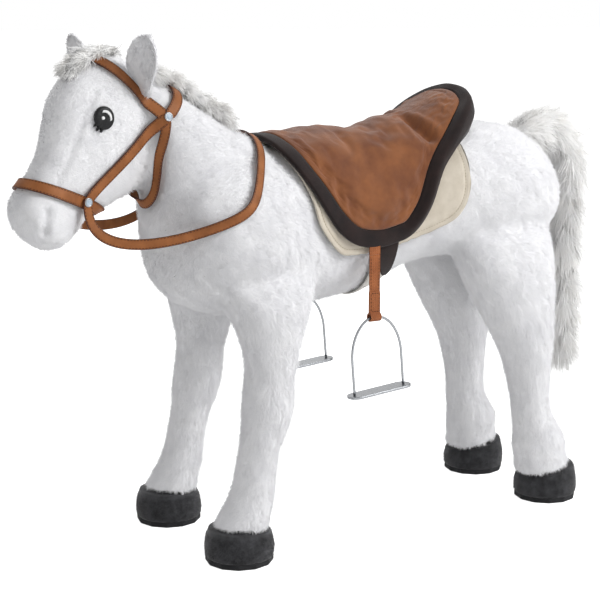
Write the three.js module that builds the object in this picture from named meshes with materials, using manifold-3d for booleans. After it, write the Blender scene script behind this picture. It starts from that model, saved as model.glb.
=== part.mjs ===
import * as THREE from "three";
import { mergeVertices } from "three/addons/utils/BufferGeometryUtils.js";
import Module from "manifold-3d";

// A standing plush horse for a child to sit on, with its saddle, stirrups, bridle and reins.
// Lengths are in millimetres. +Z is up, the horse faces -Y, its own left side is +X and the floor is z = 0.

const wasm = await Module();
wasm.setup();

// Stance of the four hooves
const hoofBase = 582;
const midHoofY = 84;
const frontTrack = 226;
const hindTrack = 192;

// Trunk
const trunkLength = 714;
const trunkFrontY = -286;
const breastHeight = 338;
const trunkHeight = 274;
const shoulderHalfWidth = 132;

// Neck, with its foot's height over the breast
const neckBaseY = -130;
const neckBaseRise = 108;
const neckReach = 191;
const neckRise = 227;
const neckHalfDepth = 115;
const neckHalfWidth = 104;

// Head, turned a little to the horse's left about an upright line through the poll. The poll is placed
// from the neck's upper end.
const pollAhead = 19;
const crownForward = -21;
const crownRise = 38;
const headTurnDeg = 14;
const headSlopeDeg = 53.13;
const headLength = 293;
const headDepth = 194;
const headHalfWidth = 54;

// Ears, eyes, mane and forelock
const earLength = 83;
const earHalfWidth = 27;
const earThickness = 12;
const earSpread = 50;
const earLeanDeg = 26;
const earForwardDeg = 10;
const earFacingDeg = 12;
const eyeHalfWidth = 13;
const eyeHalfHeight = 14;
const eyeBulge = 3;
const eyeForwardDeg = 12;
const maneHeight = 31;
const maneHalfWidth = 15;
const maneLeanDeg = 36;
const forelockHeight = 15;
const forelockHalfWidth = 31;

// Tail and its dock, which is placed from the trunk's rear end and from the height of the breast
const dockInset = 44;
const dockRise = 236;
const dockBallRadius = 17;
const dockRadius = 11;
const dockLength = 18;
const dockRiseDeg = 45;
const tailReach = 71;
const tailDrop = 390;
const tailHalfWidth = 36;
const tailHalfDepth = 24;

// Legs and hooves. Each leg reaches up into the trunk, to a height over the breast.
const frontLegRise = 102;
const hindLegRise = 136;
const frontLegHalfDepth = 80;
const frontLegHalfWidth = 52;
const hindLegHalfDepth = 98;
const hindLegHalfWidth = 53;
const hoofHeight = 49;
const hoofRadius = 52;
const frontHoofSlope = -2;
const hindHoofSlope = 9;
const soleThickness = 8;
const soleInset = 2.5;
const soleChamfer = 2;

// Steel frame inside the stuffing: the tube's height over the breast, its rear end and its bend
const spineTubeRadius = 10;
const legTubeRadius = 8;
const spineTubeRise = 177;
const spineTubeInset = 83;
const spineBendAhead = 30;
const tubeBend = 45;
const footPlateRadius = 28;
const footPlateThickness = 4;

// Saddle blanket, saddle and girth
const blanketThickness = 4;
const blanketFrontY = -106;
const blanketLength = 310;
const blanketDrop = 214;
const saddleFrontY = -118;
const saddleLength = 372;
const saddleDrop = 201;
const saddleThickness = 8;
const seatProud = 1.2;
const cantleHeight = 43;
const seatPadReach = 92;
const cantleReach = 128;
const trimWidth = 25;
const girthWidth = 40;
const girthY = 56;
const girthThickness = 2.2;
const girthTabLength = 52;
const girthTabThickness = 2;

// Stirrup straps and stirrups
const strapWidth = 18;
const strapThickness = 2.2;
const strapY = 27;
const strapTuck = 7;
const strapTabLength = 13;
const strapLength = 92;
const strapLoopLength = 38;
const strapPocketRadius = 18;
const wireRadius = 2;
const wireRoom = 2.6;
const stirrupHeight = 116;
const stirrupCrown = 62;
const stirrupSpan = 88;
const stirrupTiltDeg = 5;
const treadLength = 110;
const treadWidth = 30;
const treadThickness = 4;

// Bridle and reins, which lie on the neck ahead of its foot
const bridleWidth = 17;
const bridleThickness = 2.6;
const throatlatchWidth = 14;
const rivetRadius = 6.5;
const rivetHeight = 2.4;
const rivetShankRadius = 2.4;
const reinWidth = 15;
const reinThickness = 2.2;
const reinBackAhead = 2;
const reinFrontAhead = 110;
const reinRayRise = 84;
const reinDrop = 120;
const reinLead = 92;
const leftReinHang = 66;
const rightReinHang = 28;

// Clearances: between sewn pieces, between layers laid on each other, and past the end of a cut
const seatGap = 0.35;
const layerGap = 0.8;
const padGap = 1.5;
const reinGap = 2.4;
const strapLift = 1.2;
const reinLift = 4.3;
const cutOverrun = 40;

// Finishes
const finishes = {
  plush: { color: "#ececec", roughness: 0.95, metalness: 0 },
  longPile: { color: "#f3f1ea", roughness: 0.95, metalness: 0 },
  hoofPlush: { color: "#343436", roughness: 0.9, metalness: 0 },
  eyeThread: { color: "#151414", roughness: 0.45, metalness: 0 },
  steel: { color: "#c3c5c8", roughness: 0.3, metalness: 1 },
  frameSteel: { color: "#4b4e52", roughness: 0.5, metalness: 0.8 },
  felt: { color: "#d8cfbf", roughness: 0.95, metalness: 0 },
  suede: { color: "#a3623b", roughness: 0.9, metalness: 0 },
  darkTrim: { color: "#2e201f", roughness: 0.9, metalness: 0 },
  webbing: { color: "#b8693c", roughness: 0.8, metalness: 0 },
  girthWebbing: { color: "#c9c3ae", roughness: 0.85, metalness: 0 },
};

const X = new THREE.Vector3(1, 0, 0);
const Y = new THREE.Vector3(0, 1, 0);
const Z = new THREE.Vector3(0, 0, 1);
const { degToRad, lerp, clamp } = THREE.MathUtils;
const quarterTurn = 90;
const halfTurn = 180;

function at(x, y, z) {
  return new THREE.Vector3(x, y, z);
}

// The point a moved by the vector b times k.
function moved(a, b, k) {
  return a.clone().addScaledVector(b, k);
}

// The direction that lies `degrees` from the unit vector a towards the unit vector b.
function between(a, b, degrees) {
  const turn = degToRad(degrees);
  return a.clone().multiplyScalar(Math.cos(turn)).addScaledVector(b, Math.sin(turn)).normalize();
}

// Reads a table whose rows start with their place: every column at a place, in straight runs.
function tableAt(rows, place) {
  const last = rows.length - 1;
  const found = rows.findIndex((row) => row[0] >= place);
  const next = clamp(found < 0 ? last : found, 1, last);
  const [a, b] = [rows[next - 1], rows[next]];
  const t = clamp((place - a[0]) / (b[0] - a[0]), 0, 1);
  return a.map((value, column) => lerp(value, b[column], t));
}

// Adds a row halfway between each two, on a Catmull-Rom spline through every column.
function smoothed(rows) {
  const made = [rows[0]];
  for (let i = 1; i < rows.length; i++) {
    const before = rows[Math.max(i - 2, 0)];
    const after = rows[Math.min(i + 1, rows.length - 1)];
    const [a, b] = [rows[i - 1], rows[i]];
    made.push(a.map((value, c) => (9 * (value + b[c]) - before[c] - after[c]) / 16));
    made.push(b);
  }
  return made;
}

// One closed section: points of a superellipse whose upper and lower half may differ in height.
function section({ centre, right, up, halfWidth, halfUp, halfDown, tilt = 0 }, sides, power) {
  return Array.from({ length: sides }, (_, i) => {
    const turn = (2 * Math.PI * i) / sides;
    const c = Math.sign(Math.cos(turn)) * Math.abs(Math.cos(turn)) ** (2 / power);
    const s = Math.sign(Math.sin(turn)) * Math.abs(Math.sin(turn)) ** (2 / power);
    const edge = moved(moved(centre, right, halfWidth * s), up, (c > 0 ? halfUp : halfDown) * c);
    return moved(edge, Z, tilt * c);
  });
}

// A manifold solid from a closed three.js geometry, turned to face outwards.
function solidOf(geometry) {
  const bare = geometry.clone();
  bare.deleteAttribute("normal");
  bare.deleteAttribute("uv");
  const merged = mergeVertices(bare);
  const place = merged.getAttribute("position");
  const index = Array.from(merged.index.array);
  const [a, b, c] = [at(0, 0, 0), at(0, 0, 0), at(0, 0, 0)];
  let volume = 0;
  for (let i = 0; i < index.length; i += 3) {
    a.fromBufferAttribute(place, index[i]);
    b.fromBufferAttribute(place, index[i + 1]);
    c.fromBufferAttribute(place, index[i + 2]);
    volume += a.dot(b.cross(c));
  }
  if (volume < 0) index.reverse();
  return new wasm.Manifold(
    new wasm.Mesh({ numProp: 3, vertProperties: place.array, triVerts: new Uint32Array(index) }),
  );
}

// A manifold solid from points and the triangles between them.
function solid(points, triangles) {
  const geometry = new THREE.BufferGeometry();
  geometry.setAttribute("position", new THREE.Float32BufferAttribute(points.flatMap((p) => p.toArray()), 3));
  geometry.setIndex(triangles);
  return solidOf(geometry);
}

// The three.js geometry of a manifold solid.
function geometryOf(body) {
  const mesh = body.getMesh();
  const places = new Float32Array(mesh.numVert * 3);
  for (let i = 0; i < mesh.numVert; i++) {
    places.set(mesh.vertProperties.subarray(i * mesh.numProp, i * mesh.numProp + 3), i * 3);
  }
  const geometry = new THREE.BufferGeometry();
  geometry.setAttribute("position", new THREE.BufferAttribute(places, 3));
  geometry.setIndex(new THREE.BufferAttribute(new Uint32Array(mesh.triVerts), 1));
  return geometry;
}

// A closed skin through a row of sections, with a fan at each end, or round to the first again.
function loft(sections, closed = false) {
  const sides = sections[0].length;
  const count = sections.length;
  const points = sections.flat();
  const triangles = [];
  for (let r = 0; r < (closed ? count : count - 1); r++) {
    const on = ((r + 1) % count) * sides;
    for (let i = 0; i < sides; i++) {
      const j = (i + 1) % sides;
      triangles.push(r * sides + i, r * sides + j, on + j, r * sides + i, on + j, on + i);
    }
  }
  for (const ring of closed ? [] : [0, count - 1]) {
    const middle = points.length;
    points.push(sections[ring].reduce((sum, p) => sum.add(p), at(0, 0, 0)).divideScalar(sides));
    for (let i = 0; i < sides; i++) {
      const pair = [ring * sides + i, ring * sides + ((i + 1) % sides)];
      if (ring === 0) pair.reverse();
      triangles.push(middle, ...pair);
    }
  }
  return solid(points, triangles);
}

// A closed slab between two grids of points that have the same rows.
function slab(upper, lower) {
  const wide = upper[0].length;
  const rows = upper.length;
  const points = [...upper.flat(), ...lower.flat()];
  const under = rows * wide;
  const triangles = [];
  const quad = (a, b, c, d) => triangles.push(a, b, c, a, c, d);
  for (let r = 0; r < rows - 1; r++) {
    for (let i = 0; i < wide - 1; i++) {
      const p = r * wide + i;
      quad(p, p + 1, p + wide + 1, p + wide);
      quad(under + p, under + p + wide, under + p + wide + 1, under + p + 1);
    }
    const [a, b] = [r * wide, (r + 1) * wide - 1];
    quad(a, a + wide, under + a + wide, under + a);
    quad(b, under + b, under + b + wide, b + wide);
  }
  const end = (rows - 1) * wide;
  for (let i = 0; i < wide - 1; i++) {
    quad(i, under + i, under + i + 1, i + 1);
    quad(end + i, end + i + 1, under + end + i + 1, under + end + i);
  }
  return solid(points, triangles);
}

// A round tube of one radius along a curve.
function tube(path, radius, steps, sides) {
  const outline = new THREE.Shape().absarc(0, 0, radius, 0, 2 * Math.PI);
  const settings = { extrudePath: path, steps, curveSegments: sides / 2, bevelEnabled: false };
  return solidOf(new THREE.ExtrudeGeometry(outline, settings));
}

// Straight runs between the points, with each corner rounded over the bend.
function bentPath(points, bend) {
  const path = new THREE.CurvePath();
  const last = points.length - 1;
  let from = points[0];
  for (let i = 1; i < last; i++) {
    const back = points[i - 1].clone().sub(points[i]).normalize();
    const on = points[i + 1].clone().sub(points[i]).normalize();
    const start = moved(points[i], back, bend);
    const end = moved(points[i], on, bend);
    path.add(new THREE.LineCurve3(from, start));
    path.add(new THREE.QuadraticBezierCurve3(start, points[i], end));
    from = end;
  }
  path.add(new THREE.LineCurve3(from, points[last]));
  return path;
}

// The same points with both ends drawn out by a length.
function drawnOut(points, by) {
  const last = points.length - 1;
  const head = points[0].clone().sub(points[1]).normalize();
  const foot = points[last].clone().sub(points[last - 1]).normalize();
  return [moved(points[0], head, by), ...points.slice(1, last), moved(points[last], foot, by)];
}

// A round disc or bar standing on a point, along a direction.
function bar(base, direction, radius, length, sides) {
  const geometry = new THREE.CylinderGeometry(radius, radius, length, sides);
  geometry.translate(0, length / 2, 0);
  geometry.applyQuaternion(new THREE.Quaternion().setFromUnitVectors(Y, direction));
  geometry.translate(...base.toArray());
  return solidOf(geometry);
}

// An ellipsoid from three half sizes, with its middle one along a direction.
function ball(centre, halfSizes, direction, sides) {
  const geometry = new THREE.SphereGeometry(1, sides, sides / 2);
  geometry.scale(...halfSizes);
  geometry.applyQuaternion(new THREE.Quaternion().setFromUnitVectors(Y, direction));
  geometry.translate(...centre.toArray());
  return solidOf(geometry);
}

// Takes each of the other solids away from the first.
function cut(body, ...others) {
  return others.reduce((left, other) => left.subtract(other), body);
}

// Keeps the largest body of a solid, without the slivers that a cut leaves.
function largest(body) {
  const geometry = geometryOf(body);
  const index = geometry.index.array;
  const owner = Array.from({ length: geometry.getAttribute("position").count }, (_, i) => i);
  const rootOf = (start) => {
    let root = start;
    while (owner[root] !== root) root = owner[root];
    owner[start] = root;
    return root;
  };
  for (let i = 0; i < index.length; i += 3) {
    owner[rootOf(index[i + 1])] = rootOf(index[i]);
    owner[rootOf(index[i + 2])] = rootOf(index[i]);
  }
  const groups = new Map();
  for (let i = 0; i < index.length; i += 3) {
    const root = rootOf(index[i]);
    groups.set(root, [...(groups.get(root) ?? []), index[i], index[i + 1], index[i + 2]]);
  }
  geometry.setIndex([...groups.values()].reduce((best, one) => (one.length > best.length ? one : best)));
  return solidOf(geometry.toNonIndexed());
}

// Trunk: [along, underside, back, half width], as shares of the trunk's length, height and half width
const trunkShares = [
  [0, 0.43, 0.66, 0.18],
  [0.011, 0.245, 0.76, 0.45],
  [0.039, 0.124, 0.847, 0.72],
  [0.077, 0.066, 0.9, 0.88],
  [0.125, 0.018, 0.92, 0.97],
  [0.195, 0, 0.92, 1],
  [0.265, 0.008, 0.92, 0.91],
  [0.348, 0.03, 0.915, 0.775],
  [0.46, 0.07, 0.9, 0.739],
  [0.571, 0.184, 0.912, 0.739],
  [0.682, 0.226, 0.97, 0.82],
  [0.794, 0.232, 1, 0.91],
  [0.877, 0.237, 0.97, 0.88],
  [0.94, 0.292, 0.869, 0.73],
  [0.982, 0.39, 0.737, 0.5],
  [1, 0.51, 0.62, 0.16],
];
const trunkWidestShare = 0.48;
const bodyPower = 2.2;
const bodySides = 16;

// The trunk's sections in real sizes: [y, underside, widest, back, half width]
const trunkRows = smoothed(trunkShares).map(([place, low, high, wide]) => {
  const bottom = breastHeight + low * trunkHeight;
  const top = breastHeight + high * trunkHeight;
  const middle = lerp(bottom, top, trunkWidestShare);
  return [trunkFrontY + place * trunkLength, bottom, middle, top, wide * shoulderHalfWidth];
});

// The trunk, with its skin moved out by `grow`
function trunkSolid(grow) {
  const last = trunkRows.length - 1;
  return loft(
    trunkRows.map(([y, bottom, middle, top, halfWidth], i) => {
      const end = grow * (Number(i === last) - Number(i === 0));
      const size = {
        centre: at(0, y + end, middle),
        right: X,
        up: Z,
        halfWidth: halfWidth + grow,
        halfUp: top - middle + grow,
        halfDown: middle - bottom + grow,
      };
      return section(size, bodySides, bodyPower);
    }),
  );
}

// The trunk's outline at y, walked down its left side from the back: [way, x, z, normal x, normal z].
function skinWalk(y) {
  const steps = 48;
  const [, bottom, middle, top, halfWidth] = tableAt(trunkRows, y);
  const points = Array.from({ length: steps + 1 }, (_, i) => {
    const turn = (Math.PI * i) / steps;
    const c = Math.sign(Math.cos(turn)) * Math.abs(Math.cos(turn)) ** (2 / bodyPower);
    const s = Math.abs(Math.sin(turn)) ** (2 / bodyPower);
    return new THREE.Vector2(halfWidth * s, middle + (c > 0 ? top - middle : middle - bottom) * c);
  });
  let way = 0;
  return points.map((p, i) => {
    if (i > 0) way += p.distanceTo(points[i - 1]);
    const run = points[Math.min(i + 1, steps)].clone().sub(points[Math.max(i - 1, 0)]).normalize();
    return [way, p.x, p.y, -run.y, run.x];
  });
}

// A point over the trunk's skin: `drop` is the way down the left side from the back, below zero on the right.
function onSkin(y, drop, offset) {
  const [, x, z, nx, nz] = tableAt(skinWalk(y), Math.abs(drop));
  const out = new THREE.Vector2(nx, nz).normalize();
  return at(Math.sign(drop) * (x + out.x * offset), y, z + out.y * offset);
}

// Neck: [along, up, half depth, half width], as shares of its reach, rise, half depth and half width
const neckShares = [
  [0, 0, 1, 1],
  [0.126, 0.145, 1, 0.98],
  [0.267, 0.277, 0.975, 0.93],
  [0.403, 0.395, 0.915, 0.86],
  [0.513, 0.48, 0.805, 0.77],
  [0.576, 0.584, 0.67, 0.68],
  [0.644, 0.7, 0.525, 0.6],
  [0.743, 0.8, 0.44, 0.54],
  [0.88, 0.905, 0.38, 0.49],
  [1, 1, 0.25, 0.32],
];

const neckBaseZ = breastHeight + neckBaseRise;

// A point on the neck's own line, from shares of its reach and rise.
function neckPoint(along, up) {
  return at(0, neckBaseY - along * neckReach, neckBaseZ + up * neckRise);
}

function neckSolid(grow) {
  const back = neckPoint(1, 1).sub(neckPoint(0, 0)).normalize().cross(X);
  return loft(
    neckShares.map(([along, up, deep, wide]) => {
      const size = {
        centre: neckPoint(along, up),
        right: X,
        up: back,
        halfWidth: wide * neckHalfWidth + grow,
        halfUp: deep * neckHalfDepth + grow,
        halfDown: deep * neckHalfDepth + grow,
      };
      return section(size, bodySides, bodyPower);
    }),
  );
}

// The head's own directions: forward, to its left, down along the face and out of the face
const headForward = between(Y.clone().negate(), X, headTurnDeg);
const headSide = between(X, Y, headTurnDeg);
const headDown = between(headForward, Z.clone().negate(), headSlopeDeg);
const headOut = headDown.clone().cross(headSide);
const poll = neckPoint(1, 1).add(at(0, -pollAhead, crownRise));
const crown = moved(poll, headForward, crownForward);

// A place in the head's middle plane, from shares of its length down the face and of its depth out to the face.
function headPlace(downShare, outShare) {
  return moved(moved(crown, headDown, downShare * headLength), headOut, outShare * headDepth);
}

// The outward direction on one side of the head.
function sideWay(side) {
  return headSide.clone().multiplyScalar(side);
}

// Head: [along, face, jaw, half width], as shares of its length, depth, depth and half width
const headShares = [
  [0, 0.1, -0.06, 0.36],
  [0.035, 0.2, -0.18, 0.62],
  [0.1, 0.285, -0.34, 0.86],
  [0.18, 0.34, -0.48, 0.95],
  [0.28, 0.388, -0.615, 1],
  [0.383, 0.392, -0.66, 0.98],
  [0.475, 0.347, -0.605, 0.91],
  [0.57, 0.292, -0.505, 0.81],
  [0.67, 0.25, -0.395, 0.74],
  [0.755, 0.24, -0.325, 0.73],
  [0.84, 0.25, -0.31, 0.79],
  [0.915, 0.225, -0.275, 0.78],
  [0.97, 0.15, -0.215, 0.6],
  [1, 0.05, -0.13, 0.28],
];
const headWidestShare = 0.56;

function headSolid(grow) {
  const last = headShares.length - 1;
  return loft(
    headShares.map(([place, face, jaw, wide], i) => {
      const end = grow * (Number(i === last) - Number(i === 0));
      const middle = lerp(jaw, face, headWidestShare);
      const size = {
        centre: moved(headPlace(place, middle), headDown, end),
        right: headSide,
        up: headOut,
        halfWidth: wide * headHalfWidth + grow,
        halfUp: (face - middle) * headDepth + grow,
        halfDown: (middle - jaw) * headDepth + grow,
      };
      return section(size, bodySides, bodyPower);
    }),
  );
}

// Legs: [up, backward, half depth, half width, inward], the last as a share of half the track
const frontLegShares = [
  [0, 0.03, 0.57, 0.88, 0],
  [0.055, 0.14, 0.5, 0.78, 0],
  [0.11, 0.27, 0.47, 0.7, 0.01],
  [0.195, 0.36, 0.42, 0.63, 0.015],
  [0.28, 0.44, 0.42, 0.63, 0.02],
  [0.355, 0.56, 0.47, 0.7, 0.03],
  [0.42, 0.62, 0.53, 0.78, 0.04],
  [0.49, 0.66, 0.52, 0.77, 0.045],
  [0.565, 0.7, 0.51, 0.76, 0.05],
  [0.64, 0.73, 0.57, 0.81, 0.07],
  [0.73, 0.75, 0.72, 0.91, 0.11],
  [0.835, 0.76, 0.92, 1, 0.18],
  [0.92, 0.78, 0.97, 0.86, 0.3],
  [1, 0.78, 0.7, 0.55, 0.42],
];
const hindLegShares = [
  [0, -0.06, 0.5, 0.89, 0],
  [0.06, -0.09, 0.48, 0.77, 0.03],
  [0.1, -0.1, 0.51, 0.76, 0.06],
  [0.148, -0.15, 0.45, 0.72, 0.07],
  [0.22, -0.27, 0.37, 0.65, 0.08],
  [0.31, -0.3, 0.38, 0.68, 0.1],
  [0.425, -0.36, 0.44, 0.77, 0.12],
  [0.505, -0.42, 0.57, 0.84, 0.14],
  [0.63, -0.57, 0.73, 0.94, 0.15],
  [0.785, -0.77, 0.92, 1, 0.19],
  [0.9, -0.85, 0.99, 0.97, 0.27],
  [1, -0.87, 0.75, 0.68, 0.38],
];
const limbSides = 12;
const hoofSlopeShare = 0.16;

const frontLeg = {
  shares: frontLegShares,
  height: breastHeight + frontLegRise,
  halfDepth: frontLegHalfDepth,
  halfWidth: frontLegHalfWidth,
  hoofY: midHoofY - hoofBase / 2,
  halfTrack: frontTrack / 2,
  slope: frontHoofSlope,
};
const hindLeg = {
  shares: hindLegShares,
  height: breastHeight + hindLegRise,
  halfDepth: hindLegHalfDepth,
  halfWidth: hindLegHalfWidth,
  hoofY: midHoofY + hoofBase / 2,
  halfTrack: hindTrack / 2,
  slope: hindHoofSlope,
};

// The centre of a leg at a share of its height.
function legCentre(leg, side, share) {
  const [, back, , , inward] = tableAt(leg.shares, share);
  const z = lerp(hoofHeight + seatGap, leg.height, share);
  return at(side * leg.halfTrack * (1 - inward), leg.hoofY + back * leg.halfDepth, z);
}

function legSolid(leg, side) {
  return loft(
    leg.shares.map(([up, , deep, wide]) => {
      const size = {
        centre: legCentre(leg, side, up),
        right: X,
        up: Y,
        halfWidth: wide * leg.halfWidth,
        halfUp: deep * leg.halfDepth,
        halfDown: deep * leg.halfDepth,
        tilt: leg.slope * Math.max(0, 1 - up / hoofSlopeShare),
      };
      return section(size, limbSides, 2);
    }),
  );
}

// Hoof cap: [up, radius], as shares of its height over the sole and of its radius
const hoofShares = [
  [0, 0.955],
  [0.12, 0.99],
  [0.4, 1],
  [0.7, 0.97],
  [1, 0.9],
];

// A round section of a hoof or sole at a height.
function hoofRing(leg, side, z, radius, tilt) {
  const centre = at(side * leg.halfTrack, leg.hoofY, z);
  const size = { centre, right: X, up: Y, halfWidth: radius, halfUp: radius, halfDown: radius, tilt };
  return section(size, limbSides, 2);
}

function hoofSolid(leg, side) {
  const bottom = soleThickness + seatGap;
  return loft(
    hoofShares.map(([up, wide]) =>
      hoofRing(leg, side, lerp(bottom, hoofHeight, up), wide * hoofRadius, leg.slope * up),
    ),
  );
}

// The stiff sole under a hoof, with a small chamfer at the floor
function soleSolid(leg, side) {
  const radius = hoofRadius - soleInset;
  const rings = [
    [0, radius - soleChamfer],
    [soleChamfer, radius],
    [soleThickness, radius],
  ];
  return loft(rings.map(([z, r]) => hoofRing(leg, side, z, r, 0)));
}

// Steel frame: one tube from the rump into the head, and a bent tube for each pair of legs welded under it
const spineNeckShares = [0.8, 0.86];
const spineHeadShares = [0.4, -0.1];
const trunkRearY = trunkFrontY + trunkLength;
const spineTubeZ = breastHeight + spineTubeRise;
const spinePoints = [
  at(0, trunkRearY - spineTubeInset, spineTubeZ),
  at(0, neckBaseY - spineBendAhead, spineTubeZ),
  neckPoint(...spineNeckShares),
  headPlace(...spineHeadShares),
];
const footPlateZ = soleThickness + seatGap;
const footPlateTop = footPlateZ + footPlateThickness;
const hoopTopZ = spineTubeZ - spineTubeRadius - legTubeRadius - seatGap;
const hoopTopShare = 0.9;
const ankleShare = 0.08;
const frameSides = 6;
const spineSteps = 14;
const hoopSteps = 14;

function hoopPoints(leg) {
  const top = legCentre(leg, 1, hoopTopShare);
  const ankle = legCentre(leg, 1, ankleShare);
  const foot = at(ankle.x, ankle.y, footPlateTop + seatGap);
  const points = [foot, ankle, at(top.x, top.y, hoopTopZ)];
  const mirrored = points.map((p) => at(-p.x, p.y, p.z)).reverse();
  return [...points, ...mirrored];
}

// A tube of the frame, and the room for it in the stuffing.
function frameTube(points, radius, steps) {
  return {
    tube: tube(bentPath(points, tubeBend), radius, steps, frameSides),
    room: tube(bentPath(drawnOut(points, seatGap), tubeBend), radius + seatGap, steps, frameSides),
  };
}

const spine = frameTube(spinePoints, spineTubeRadius, spineSteps);
const hoops = {
  front: frameTube(hoopPoints(frontLeg), legTubeRadius, hoopSteps),
  hind: frameTube(hoopPoints(hindLeg), legTubeRadius, hoopSteps),
};

function footPlate(leg, side, grow) {
  const base = at(side * leg.halfTrack, leg.hoofY, footPlateZ - grow);
  return bar(base, Z, footPlateRadius + grow, footPlateThickness + 2 * grow, limbSides);
}

// Dock: a ball in a round hollow of the rump, with a stub that points up and back into the tail
const dockCentre = at(0, trunkRearY - dockInset, breastHeight + dockRise);
const dockWay = between(Y, Z, dockRiseDeg);
const dockSides = 12;
const hollowSides = 14;
const hollowRadius = dockBallRadius / Math.cos(Math.PI / hollowSides) ** 2 + seatGap;

function dockBall(radius, sides) {
  return ball(dockCentre, [radius, radius, radius], Y, sides);
}

const dockStub = bar(dockCentre, dockWay, dockRadius, dockBallRadius + dockLength, dockSides);
const dock = dockBall(dockBallRadius, dockSides).add(dockStub);

// Tail: [backward, down, half depth, half width], as shares of its reach, drop, half depth and half width
const tailShares = [
  [0, 0, 0.8, 0.6],
  [0.3, 0, 0.95, 0.75],
  [0.6, 0.03, 1, 0.85],
  [0.83, 0.09, 1, 0.92],
  [0.93, 0.18, 1, 1],
  [0.92, 0.31, 1, 1],
  [0.88, 0.46, 1, 0.98],
  [0.87, 0.61, 1, 0.95],
  [0.89, 0.77, 1, 0.92],
  [0.97, 0.92, 0.95, 0.85],
  [1.08, 1, 0.6, 0.6],
];
const tailRoot = moved(dockCentre, dockWay, dockBallRadius + dockLength + seatGap);
const tailSides = 12;

function tailSolid() {
  const centres = tailShares.map(([back, down]) =>
    moved(moved(tailRoot, Y, back * tailReach), Z, -down * tailDrop),
  );
  return loft(
    tailShares.map(([, , deep, wide], i) => {
      const ahead = centres[Math.min(i + 1, centres.length - 1)];
      const way = i === 0 ? dockWay.clone() : ahead.clone().sub(centres[i - 1]).normalize();
      const size = {
        centre: centres[i],
        right: X,
        up: way.cross(X),
        halfWidth: wide * tailHalfWidth,
        halfUp: deep * tailHalfDepth,
        halfDown: deep * tailHalfDepth,
      };
      return section(size, tailSides, 2);
    }),
  );
}

// Stuffed bodies, each cut by the larger one that it is sewn to
const trunkWhole = trunkSolid(0);
const trunkGrown = trunkSolid(seatGap);
const neckWhole = neckSolid(0);
const neckGrown = neckSolid(seatGap);
const headWhole = headSolid(0);
const headGrown = headSolid(seatGap);
const dockHollow = dockBall(hollowRadius, hollowSides);
const trunk = cut(trunkWhole, spine.room, hoops.front.room, hoops.hind.room, dockHollow);
const neck = largest(cut(neckWhole, trunkGrown, headGrown, spine.room, hoops.front.room));
const head = cut(headWhole, spine.room);

// Where a ray from inside leaves one of the plush skins
const caster = new THREE.Raycaster();

function skinOf(body) {
  return new THREE.Mesh(geometryOf(body), new THREE.MeshBasicMaterial({ side: THREE.DoubleSide }));
}

function leaves(skin, from, direction) {
  caster.set(from, direction);
  return caster.intersectObject(skin)[0].point;
}

const headSkin = skinOf(headWhole);
const upperSkin = skinOf(headWhole.add(neckWhole));
const bodySkin = skinOf(neckWhole.add(trunkWhole));

// A strap's seat on a skin: rays from two rails, a strap's width apart, give its middle and its outward side.
function seatOn(skin, from, direction, across, width) {
  const a = leaves(skin, moved(from, across, width / 2), direction);
  const b = leaves(skin, moved(from, across, -width / 2), direction);
  const edge = a.clone().sub(b).normalize();
  const out = moved(direction, edge, -direction.dot(edge)).normalize();
  return { point: a.lerp(b, 0.5), out };
}

// A flat strap along its seats, lifted off them by an offset.
function strap(seats, width, thickness, offset, closed = false) {
  const count = seats.length;
  const sections = seats.map(({ point, out }, i) => {
    const ahead = seats[closed ? (i + 1) % count : Math.min(i + 1, count - 1)].point;
    const behind = seats[closed ? (i + count - 1) % count : Math.max(i - 1, 0)].point;
    const edge = ahead.clone().sub(behind).cross(out).normalize();
    const low = moved(point, out, offset);
    const high = moved(point, out, offset + thickness);
    return [
      moved(low, edge, -width / 2),
      moved(low, edge, width / 2),
      moved(high, edge, width / 2),
      moved(high, edge, -width / 2),
    ];
  });
  return loft(sections, closed);
}

// Seats on a skin where rays fan out from a centre, from one direction towards another.
function fanSeats(skin, centre, first, second, fan, width) {
  const across = first.clone().cross(second).normalize();
  const level = across.clone().cross(first).normalize();
  return Array.from({ length: fan.count }, (_, i) => {
    const direction = between(first, level, (fan.sweep * i) / (fan.closed ? fan.count : fan.count - 1));
    return seatOn(skin, centre, direction, across, width);
  });
}

// Bridle: what its straps pass, as [along, out] shares of the head's length and depth
const upperRivetShares = [0.165, -0.31];
const lowerRivetShares = [0.715, -0.14];
const nosebandFaceShares = [0.795, 0.26];
const nosebandCentreShares = [0.74, -0.03];
const browShares = [0.12, 0.25];
const pollShares = [-0.06, -0.36];
const throatShares = [0.466, -0.614];
const ringFan = { sweep: 2 * halfTurn, count: 18, closed: true };
const arcFan = { sweep: halfTurn, count: 13, closed: false };
const cheekCount = 7;

// A bridle strap and the room that it takes from the straps laid after it.
function bridleStrap(seats, width, closed, rooms) {
  const extra = 2 * layerGap;
  const body = strap(seats, width, bridleThickness, strapLift, closed);
  return {
    body: largest(cut(body, headGrown, neckGrown, ...rooms)),
    room: strap(seats, width + extra, bridleThickness + extra, strapLift - layerGap, closed),
  };
}

const nosebandCentre = headPlace(...nosebandCentreShares);
const nosebandWay = headPlace(...nosebandFaceShares).sub(nosebandCentre).normalize();
const nosebandSeats = fanSeats(headSkin, nosebandCentre, nosebandWay, headSide, ringFan, bridleWidth);
const noseband = bridleStrap(nosebandSeats, bridleWidth, true, []);

// The strap on one cheek, from the lower rivet to the upper one.
function cheekSeats(side) {
  const low = headPlace(...lowerRivetShares);
  const high = headPlace(...upperRivetShares);
  const across = high.clone().sub(low).cross(headSide).normalize();
  return Array.from({ length: cheekCount }, (_, i) =>
    seatOn(upperSkin, low.clone().lerp(high, i / (cheekCount - 1)), sideWay(side), across, bridleWidth),
  );
}

const cheekpieces = [1, -1].map((side) => bridleStrap(cheekSeats(side), bridleWidth, false, [noseband.room]));
const cheekRooms = cheekpieces.map((piece) => piece.room);

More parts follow.
